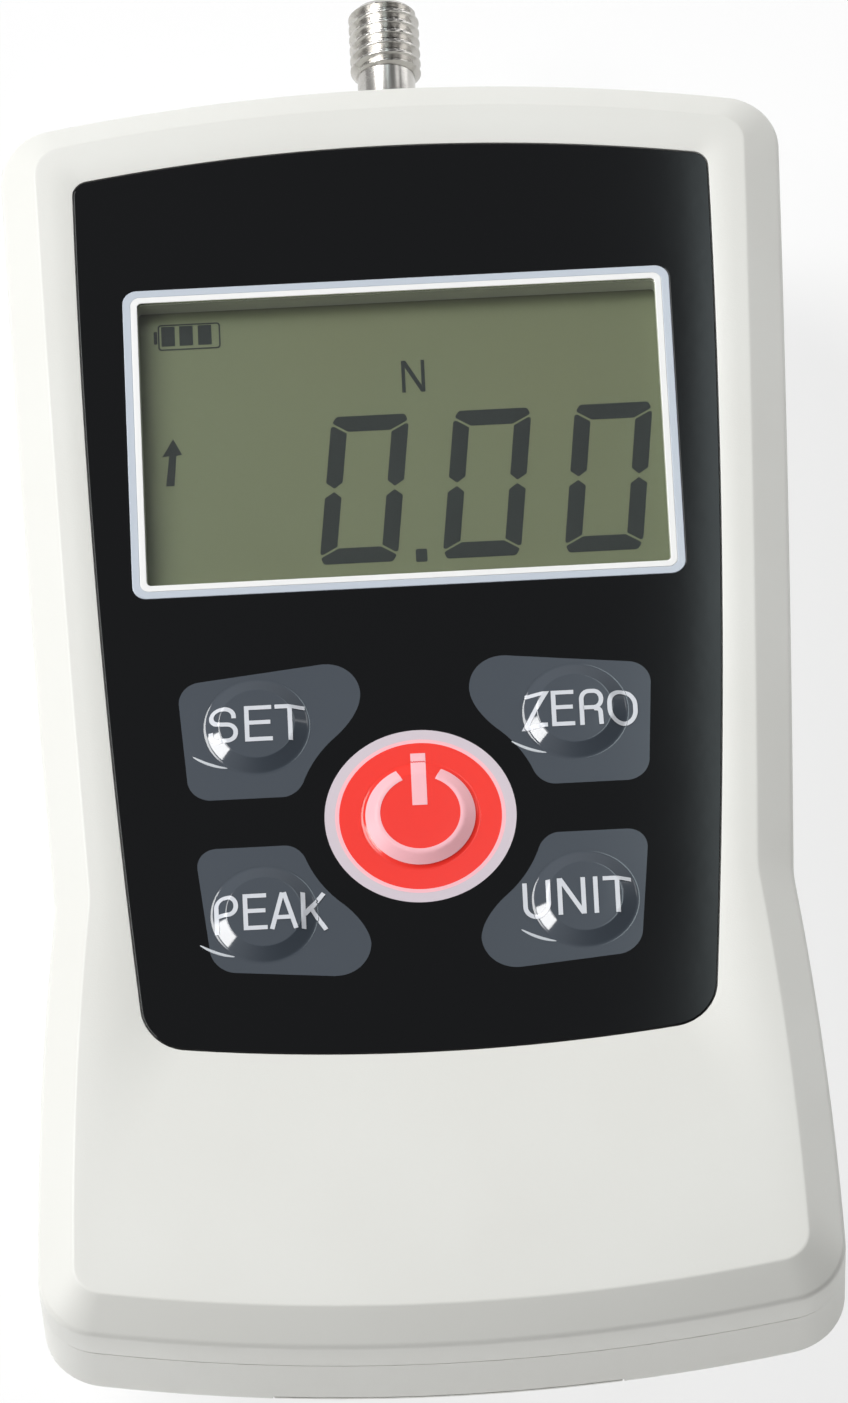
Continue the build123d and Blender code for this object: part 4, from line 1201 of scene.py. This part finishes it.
@dataclass
class Keypad:
    """Five raised domes with their legends."""

    foot: float = 1.36
    slope_rise: float = 0.6254
    cap_height: float = 2.86
    stroke: float = 0.37
    ink_rise: float = 0.03
    ink_gap: float = 0.004
    layer: float = 0.006
    sign_radius: float = 3.87
    sign_stroke: float = 1.22
    sign_gap: float = 0.42
    sign_bar: tuple = (0.67, 5.67)
    crease_path: tuple = ((-5.3, -2.45), (-3.95, -3.22), (-2.5, -3.64))
    widths: tuple = ((Key.SET, 8.1, 0.1), (Key.ZERO, 9.4, 0.4), (Key.PEAK, 9.2, 0.55), (Key.UNIT, 9.0, -0.55))

    def dome_height(self, radius: Array, key: Key) -> Array:
        """Height of a key's dome above the face.

        Formula: a cone of even slope climbs over the foot's width, its two ends softened by
        integrating a slope that eases in over a quarter of the width and out over a twelfth;
        inside it, the cap rises by a smooth step to a flat top of half the inner radius.
        """
        run = np.linspace(0, 1, 201)
        slope = np.clip(np.minimum(run / 0.25, (1 - run) / 0.08), 0, 1)
        slope = slope * slope * (3 - 2 * slope)
        climb = np.concatenate([[0.0], np.cumsum((slope[1:] + slope[:-1]) / 2)])
        ramp = np.interp((key.radius - radius) / self.foot, run, climb / climb[-1])
        dish = np.clip((1 - radius / (key.radius - self.foot)) / 0.5, 0, 1)
        dish = dish * dish * (3 - 2 * dish)
        crown = SIZES.key_crown - SIZES.print_rise - self.slope_rise
        return SIZES.print_rise + self.slope_rise * ramp + crown * dish

    def build(self) -> None:
        """Domes, legends and the power sign."""
        for key in Key:
            finish = RED_FILM if key is Key.POWER else KEY_FILM
            slot = "power_key_film" if key is Key.POWER else "key_film"
            place(self.dome(key), f"{key.value}_button", finish, slot, (f"{key.value}_key",))
        for key, width, shift in self.widths:
            self.split(self.legend(key, width, shift), key, PALE_INK, "key_film")
            # pale streak beside each dome: a painted glint
            place(self.crease(key), "case", GLINT_PAINT, "overlay_film")
        self.split(self.power_sign(), Key.POWER, PINK_INK, "power_key_film")

    def dome(self, key: Key) -> bpy.types.Object:
        """One cap: a surface of revolution with a crowned top, short skirt and hollow underside."""
        flat = np.linspace(0.1, key.radius - self.foot, 44)
        radius = np.concatenate([[0.002], flat, key.radius - np.linspace(self.foot, 0, 44)[1:]])
        top = np.column_stack([radius, SIZES.thickness + self.dome_height(radius, key)])
        rim, hollow = key.radius, key.radius - 0.8
        low, roof, plunger = SIZES.overlay_z, SIZES.overlay_z + 0.3, 1.8
        below = np.array([[rim, SIZES.thickness - 0.12], [rim - 0.02, low], [hollow, low], [hollow, roof],
                          [plunger, roof], [plunger, low], [0.002, low]])
        profile = np.vstack([top, below])[::-1]
        surface = Surface()
        surface.add_rings(turned(profile, (*key.centre, 0.0), count=160), cap_start=True, cap_end=True)
        return surface.make(f"{key.value}_dome", 50.0)

    def crease(self, key: Key) -> bpy.types.Object:
        """Pale raised streak on the film, running up to a dome's lower left foot: a painted highlight for the
        lamp's glint along the dome's foot.

        Formula: a parabola through three places in plan; across it lies half an ellipse whose
        width follows the square root of a sine along the mark.
        """
        share = np.linspace(0, 1, 40)[:, None]
        start, middle, end = (np.array(spot) for spot in self.crease_path)
        bend = 2 * middle - (start + end) / 2
        line = (1 - share) ** 2 * start + 2 * share * (1 - share) * bend + share**2 * end + key.centre
        way = np.gradient(line, axis=0)
        way /= np.linalg.norm(way, axis=1, keepdims=True)
        half = 0.01 + 0.12 * np.sqrt(np.sin(np.pi * share))
        turn = np.linspace(0, np.pi, 9)
        across = np.stack([-way[:, 1], way[:, 0]], 1)[:, None] * (half * np.cos(turn))[:, :, None]
        rise = SIZES.thickness + SIZES.print_rise - 0.004 + 0.3 * half * np.sin(turn)
        surface = Surface()
        surface.add_rings(np.dstack([line[:, None] + across, rise]), cap_start=True, cap_end=True)
        return surface.make(f"{key.value}_crease", 50.0)

    def legend(self, key: Key, width: float, shift: float) -> bpy.types.Mesh:
        """Word on a key as flat strokes in plan.

        Formula: letters stand side by side by their own advances, in cap heights; the whole
        word is scaled along x to its width and along y to the cap height. Each stroke lies
        6 microns above the one before, so that none meets another.

        Args:
            key: key whose name is written.
            width: width of the word over its strokes' outsides.
            shift: how far the word's middle lies to the right of the key's.

        Returns:
            The word as a flat mesh.
        """
        strokes, pen = [], 0.0
        for letter in key.name:
            advance, parts = LETTERS[letter]
            for corners, radius, closed in parts:
                strokes.append((open_path(corners, radius, closed) + [pen, 0.0], closed))
            pen += advance
        across = np.concatenate([path[:, 0] for path, _ in strokes])
        middle = (across.min() + across.max()) / 2
        scale = np.array([(width - self.stroke) / (across.max() - across.min()), self.cap_height])
        x, y = key.centre
        surface, level = Surface(), 0.0
        for path, closed in strokes:
            placed = (path - [middle, 0.5]) * scale + [x + shift, y]
            points, quads = ribbon(placed, self.stroke, closed)
            surface.add(lift(points, level), [quads])
            level += self.layer
        return surface.mesh(f"{key.value}_word")

    def power_sign(self) -> bpy.types.Mesh:
        """Open ring and bar of the power sign as flat strips in plan."""
        x, y = Key.POWER.centre
        turn = np.linspace(np.pi / 2 + self.sign_gap, np.pi * 2.5 - self.sign_gap, 120)
        ring = self.sign_radius * np.stack([np.cos(turn), np.sin(turn)], 1) + [x, y]
        bar = np.array([[x, y + self.sign_bar[0]], [x, y + self.sign_bar[1]]])
        surface = Surface()
        for path in (ring, bar):
            points, quads = ribbon(path, self.sign_stroke, False)
            surface.add(lift(points, 0.0), [quads])
        return surface.mesh("power_sign")

    def split(self, mesh: bpy.types.Mesh, key: Key, finish: Finish, slot: str) -> None:
        """Lay flat ink over the dome and part it at the rim.

        Formula: the mesh is cut on a grid of 0.2 mm, each point is raised by the dome's
        height there, and faces whose middle lies past the rim stay on the film; points that
        cross the rim are drawn back to within the ink's gap of it.

        Args:
            mesh: flat ink in plan.
            key: key that it lies on.
            finish: the ink's finish.
            slot: slot of the part on the key, handed on to place, which does not use it.
        """
        x, y = key.centre
        for name, body, keep_inside, label in ((f"{key.value}_ink", f"{key.value}_button", True, slot),
                                               (f"{key.value}_ink_rim", "case", False, "overlay_film")):
            work = bmesh.new()
            work.from_mesh(mesh)
            for axis, middle in ((0, x), (1, y)):
                normal = Vector((1, 0, 0) if axis == 0 else (0, 1, 0))
                for step in np.arange(-6.0, 6.01, 0.2):
                    point = normal * float((middle + step) * MM)
                    geometry = work.verts[:] + work.edges[:] + work.faces[:]
                    bmesh.ops.bisect_plane(work, geom=geometry, plane_co=point, plane_no=normal, dist=1e-9)
            bmesh.ops.triangulate(work, faces=work.faces)
            limit = key.radius * MM
            outside = [face for face in work.faces
                       if (math.hypot(face.calc_center_median().x - x * MM,
                                      face.calc_center_median().y - y * MM) < limit) != keep_inside]
            bmesh.ops.delete(work, geom=outside, context="FACES")
            part = bpy.data.meshes.new(name)
            work.to_mesh(part)
            work.free()
            if not len(part.polygons):
                continue
            points = read_points(part)
            radius = np.hypot(points[:, 0] / MM - x, points[:, 1] / MM - y)
            stop = key.radius + (-self.ink_gap if keep_inside else self.ink_gap)
            kept = np.minimum(radius, stop) if keep_inside else np.maximum(radius, stop)
            hub = np.array([x, y]) * MM
            points[:, :2] = hub + (points[:, :2] - hub) * (kept / radius)[:, None]
            radius = kept
            rise = self.dome_height(radius, key) if keep_inside else np.full(len(points), SIZES.print_rise)
            points[:, 2] += (SIZES.thickness + rise + self.ink_rise) * MM
            part.vertices.foreach_set("co", points.astype(np.float32).ravel())
            part.update()
            place(finish_mesh(part, name, 60.0), body, finish, label)


def read_points(mesh: bpy.types.Mesh) -> Array:
    """Points of a mesh as an array, in metres."""
    flat = np.zeros(len(mesh.vertices) * 3, np.float32)
    mesh.vertices.foreach_get("co", flat)
    return flat.reshape(-1, 3).astype(float)


# ---- the sensing stud ------------------------------------------------------------
@dataclass
class Stud:
    """Threaded steel stud and the nut that locks it."""

    axis_z: float = 15.7
    back_y: float = 34.825
    tip_y: float = 64.125
    thread_length: float = 6.4
    neck_length: float = 3.9
    major: float = 3.0
    minor: float = 2.42
    neck: float = 2.45
    pitch: float = 1.0
    chamfer: float = 0.6

    def build(self) -> None:
        """Stud with a cut thread, and its lock nut."""
        place(self.screw(), "stud", STEEL, "stud_steel", ("sensor_stud",))
        place(smooth_copy("stud_lock_nut", "lock_nut"), "stud", STEEL, "stud_steel", ("stud_lock_nut",))

    def screw(self) -> bpy.types.Object:
        """Stud from the sensor to its tip.

        Formula: along the thread the radius is the major radius less a flattened triangle
        wave of the height over the pitch less the share of a turn, held under a cone at each
        end; along the neck and shank it is plain.
        """
        count = 144
        turn = np.arange(count) / count
        start = self.tip_y - self.thread_length
        y = np.linspace(start, self.tip_y, 150)
        wave = np.abs(2 * ((y[:, None] / self.pitch - turn[None, :]) % 1.0) - 1)
        cut = np.clip((wave - 0.12) / 0.70, 0, 1)
        radius = self.minor + (self.major - self.minor) * cut
        cone = np.minimum(self.major - self.chamfer + (self.tip_y - y), self.neck + 0.05 + (y - start) * 1.4)
        radius = np.minimum(radius, cone[:, None])
        angle = turn * 2 * np.pi
        along = np.repeat(y[:, None], count, 1)
        thread = np.stack([radius * np.cos(angle), along, -radius * np.sin(angle)], -1)
        neck_y = start - self.neck_length
        corners = [(self.major, self.back_y), (self.major, neck_y - 0.02), (self.neck, neck_y + 0.25),
                   (self.neck, start)]
        plain = rounded_profile(corners, [0, 0.12, 0.25, 0], 5)
        shank = turned(plain, (0, 0, 0), "y", count)
        end = np.array([[self.major - self.chamfer - 0.06, self.tip_y], [0.5, self.tip_y]])
        tip = turned(end, (0, 0, 0), "y", count)
        surface = Surface()
        stack = np.concatenate([shank, thread, tip]) + [0, 0, self.axis_z]
        surface.add_rings(stack, cap_start=True, cap_end=True)
        return surface.make("sensing_stud", 40.0)


# ---- the inside ------------------------------------------------------------------
@dataclass
class Inside:
    """CAD nodes whose shapes stay and only get their finishes."""

    finishes: tuple = (
        ("key_switches", BLACK_PLASTIC), ("main_board", BOARD), ("lcd_bezel", BLACK_PLASTIC),
        ("lcd_reflector", WHITE_PLASTIC), ("lcd_strips", ELASTOMER), ("processor_chip", CHIP),
        ("converter_chip", CHIP), ("capacitors", CAN), ("sensor_header", HEADER), ("battery_header", HEADER),
        ("sensor_bracket", ALUMINIUM), ("cell_screws", SCREW),
        ("bracket_screws", SCREW), ("board_screws", SCREW), ("battery", JACKET), ("battery_snap", HEADER),
    )

    flexing: tuple = (("load_cell", ALUMINIUM, "sensor_aluminium"), ("strain_gauges", FOIL, "gauge_foil"))
    bend: tuple = (12.8, 5.4)

    def build(self) -> None:
        """Lay each finish on its node, and split the flexing nodes."""
        for node, finish in self.finishes:
            Paint.on(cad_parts[node], finish)
            LOG.info("%s is %s", node, finish.name)
        for key in Key:
            Paint.on(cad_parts[f"{key.value}_plunger"], BLACK_PLASTIC)
        for node, finish, slot in self.flexing:
            for side in (-1, 1):
                self.flexed_half(node, side, finish)

    def flexed_half(self, node: str, side: int, finish: Finish) -> None:
        """Half of a flexing node, cut at the middle plane.

        Args:
            node: CAD node that is cut.
            side: -1 for the left half, 1 for the right.
            finish: finish of the half.
        """
        half = smooth_copy(node, f"{node}_{'left' if side < 0 else 'right'}")
        half.modifiers.clear()
        work = bmesh.new()
        work.from_mesh(half.data)
        geometry = work.verts[:] + work.edges[:] + work.faces[:]
        outward = Vector((side, 0, 0))
        bmesh.ops.bisect_plane(work, geom=geometry, plane_co=Vector(), plane_no=outward, clear_inner=True)
        bmesh.ops.holes_fill(work, edges=[edge for edge in work.edges if edge.is_boundary])
        work.to_mesh(half.data)
        work.free()
        Paint.on(half, finish)
        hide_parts(node)
        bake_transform(half)


# ---- the studio ------------------------------------------------------------------
@dataclass
class Studio:
    """Camera, floor, lamps and sky."""

    lens: float = 291.07
    scale: float = 12.2
    yaw: float = -0.22
    pitch: float = 26.92
    roll: float = 2.86
    shift: tuple = (-16.4, 93.5, -11343.0)
    origin: tuple = (-0.25, 1.075, 27.0)
    sky: float = 0.33
    dim_sky: float = 0.03
    dim_way: tuple = (0.72, -0.46, 0.52)
    floor_half: float = 1500.0

    def build(self) -> None:
        """Everything that isn't part of the object."""
        bpy.context.scene.view_settings.view_transform = "Standard"
        self.camera()
        self.floor()
        self.world()
        self.softbox("key_lamp", (-0.44, 0.36, 0.82), 0.9, (0.48, 0.48), 0.75)
        self.softbox("front_lamp", (-0.2, -0.91, 0.36), 1.1, (0.9, 0.5), 0.09)
        self.softbox("glint_lamp", (-0.754, 0.047, 0.655), 0.9, (0.48, 0.105), 0.27, roll=29.2)
        self.softbox("side_card", (0.0, 0.442, 0.897), 0.94, (0.10, 0.24), 0.026,
                     tint=(0.84, 0.98, 1.0), roll=-2.0, aside=-0.093)
        self.softbox("right_fill", (0.90, 0.40, 0.17), 0.36, (0.2, 0.2), 0.22)
        self.softbox("neck_card", (0.62, 0.52, 0.59), 1.0, (0.24, 0.24), 0.025)

    def camera(self) -> None:
        """Long lens above the foot end.

        Formula: the turn is roll about the view axis times yaw times pitch; the place is the
        face's origin plus the turned shift over the scale.
        """
        turns = (math.radians(value) for value in (self.yaw, self.pitch, self.roll))
        (cos_y, sin_y), (cos_p, sin_p), (cos_r, sin_r) = ((math.cos(a), math.sin(a)) for a in turns)
        about_x = np.array([[1, 0, 0], [0, cos_p, sin_p], [0, -sin_p, cos_p]])
        about_y = np.array([[cos_y, 0, sin_y], [0, 1, 0], [-sin_y, 0, cos_y]])
        about_z = np.array([[cos_r, -sin_r, 0], [sin_r, cos_r, 0], [0, 0, 1]])
        turn = (about_z @ about_y @ about_x).T
        spot = np.array(self.origin) - turn @ np.array(self.shift) / self.scale
        data = bpy.data.cameras.new("camera")
        data.lens = self.lens
        data.sensor_width = 36.0
        data.sensor_fit = "AUTO"
        data.clip_start = 0.05
        camera = bpy.data.objects.new("camera", data)
        bpy.context.scene.collection.objects.link(camera)
        pose = Matrix([[*map(float, row)] for row in turn]).to_4x4()
        pose.translation = Vector([float(value) * MM for value in spot])
        camera.matrix_world = pose
        bpy.context.scene.camera = camera

    def floor(self) -> None:
        """Pale floor that keeps a soft shadow, shows close to white and throws light back up."""
        surface = Surface()
        square = np.array([[-1, -1, 0], [1, -1, 0], [1, 1, 0], [-1, 1, 0]])
        surface.add(self.floor_half * square, [np.array([[0, 1, 2, 3]])])
        floor = surface.make("floor")
        material = bpy.data.materials.new("pale_floor")
        material.use_nodes = True
        tree = material.node_tree
        shader = tree.nodes["Principled BSDF"]
        matt = {"Base Color": (0.86, 0.86, 0.86, 1), "Roughness": 0.9, "Specular IOR Level": 0.1}
        for name, value in matt.items():
            shader.inputs[name].default_value = value
        path = add_node(tree, "LightPath").outputs
        seen = add_node(tree, "Math:MULTIPLY", {1: 0.75}, n0=path["Is Camera Ray"])
        bounced = add_node(tree, "Math:MULTIPLY_ADD", {1: 0.5}, n0=path["Is Diffuse Ray"], n2=seen.outputs[0])
        strength = add_node(tree, "Math:MULTIPLY_ADD", {1: 0.6, 2: 1.0}, n0=path["Is Diffuse Ray"])
        glow = add_node(tree, "Emission", Strength=strength.outputs[0])
        mix = add_node(tree, "MixShader", n0=bounced.outputs[0], n1=shader.outputs[0], n2=glow.outputs[0])
        tree.links.new(mix.outputs[0], tree.nodes["Material Output"].inputs["Surface"])
        floor.data.materials.append(material)

    def world(self) -> None:
        """Dim sky, dimmer towards the lower right, white where the camera sees it.

        Formula: the sky's level falls by a smooth step of the direction's share along one way.
        """
        world = bpy.data.worlds.new("sky")
        bpy.context.scene.world = world
        world.use_nodes = True
        tree = world.node_tree
        ground = tree.nodes["Background"]
        sky = add_node(tree, "TexCoord").outputs["Generated"]
        share = add_node(tree, "VectorMath:DOT_PRODUCT", {1: self.dim_way}, n0=sky)
        ends = {"From Min": 0.1, "From Max": 0.85, "To Min": self.sky, "To Max": self.dim_sky}
        dim = add_node(tree, "MapRange", ends, Value=share.outputs["Value"])
        dim.interpolation_type = "SMOOTHSTEP"
        seen = add_node(tree, "LightPath").outputs["Is Camera Ray"]
        level = add_node(tree, "MapRange", {"To Max": 1.0}, Value=seen, To_Min=dim.outputs["Result"])
        tree.links.new(level.outputs["Result"], ground.inputs["Strength"])
        ground.inputs["Color"].default_value = (1.0, 1.0, 1.0, 1.0)

    def softbox(
        self,
        name: str,
        way: tuple,
        reach: float,
        size: tuple,
        level: float,
        tint: Colour = (1.0, 1.0, 1.0),
        roll: float = 0.0,
        aside: float = 0.0,
    ) -> None:
        """Rectangular lamp aimed at the object.

        Formula: the power is the wanted level on a facing white surface times pi squared
        times the distance squared.

        Args:
            name: name of the lamp.
            way: direction from the object to the lamp.
            reach: distance in metres.
            size: width and height in metres.
            level: light on a facing surface, where one shows white as white.
            tint: colour of the light.
            roll: turn about the lamp's own axis, in degrees.
            aside: shift along the lamp's own width, in metres.
        """
        data = bpy.data.lights.new(name, "AREA")
        data.shape = "RECTANGLE"
        data.size, data.size_y = size
        data.energy = level * math.pi**2 * reach**2
        data.color = tint
        lamp = bpy.data.objects.new(name, data)
        bpy.context.scene.collection.objects.link(lamp)
        direction = Vector(way).normalized()
        spin = Matrix.Rotation(math.radians(roll), 4, "Z")
        pose = direction.to_track_quat("Z", "Y").to_matrix().to_4x4() @ spin
        pose.translation = direction * reach + pose.to_3x3() @ Vector((aside, 0.0, 0.0))
        lamp.matrix_world = pose


def main() -> None:
    """Build the camera and lamps, then every sub-assembly, logging each as it is done."""
    logging.basicConfig(level=logging.INFO, format="%(name)s: %(message)s")
    Studio().build()
    for assembly in (Cover(), Tub(), Panel(), Display(), Keypad(), Stud(), Inside()):
        assembly.build()
        LOG.info("%s is done", type(assembly).__name__)


if __name__ == "__main__":
    main()
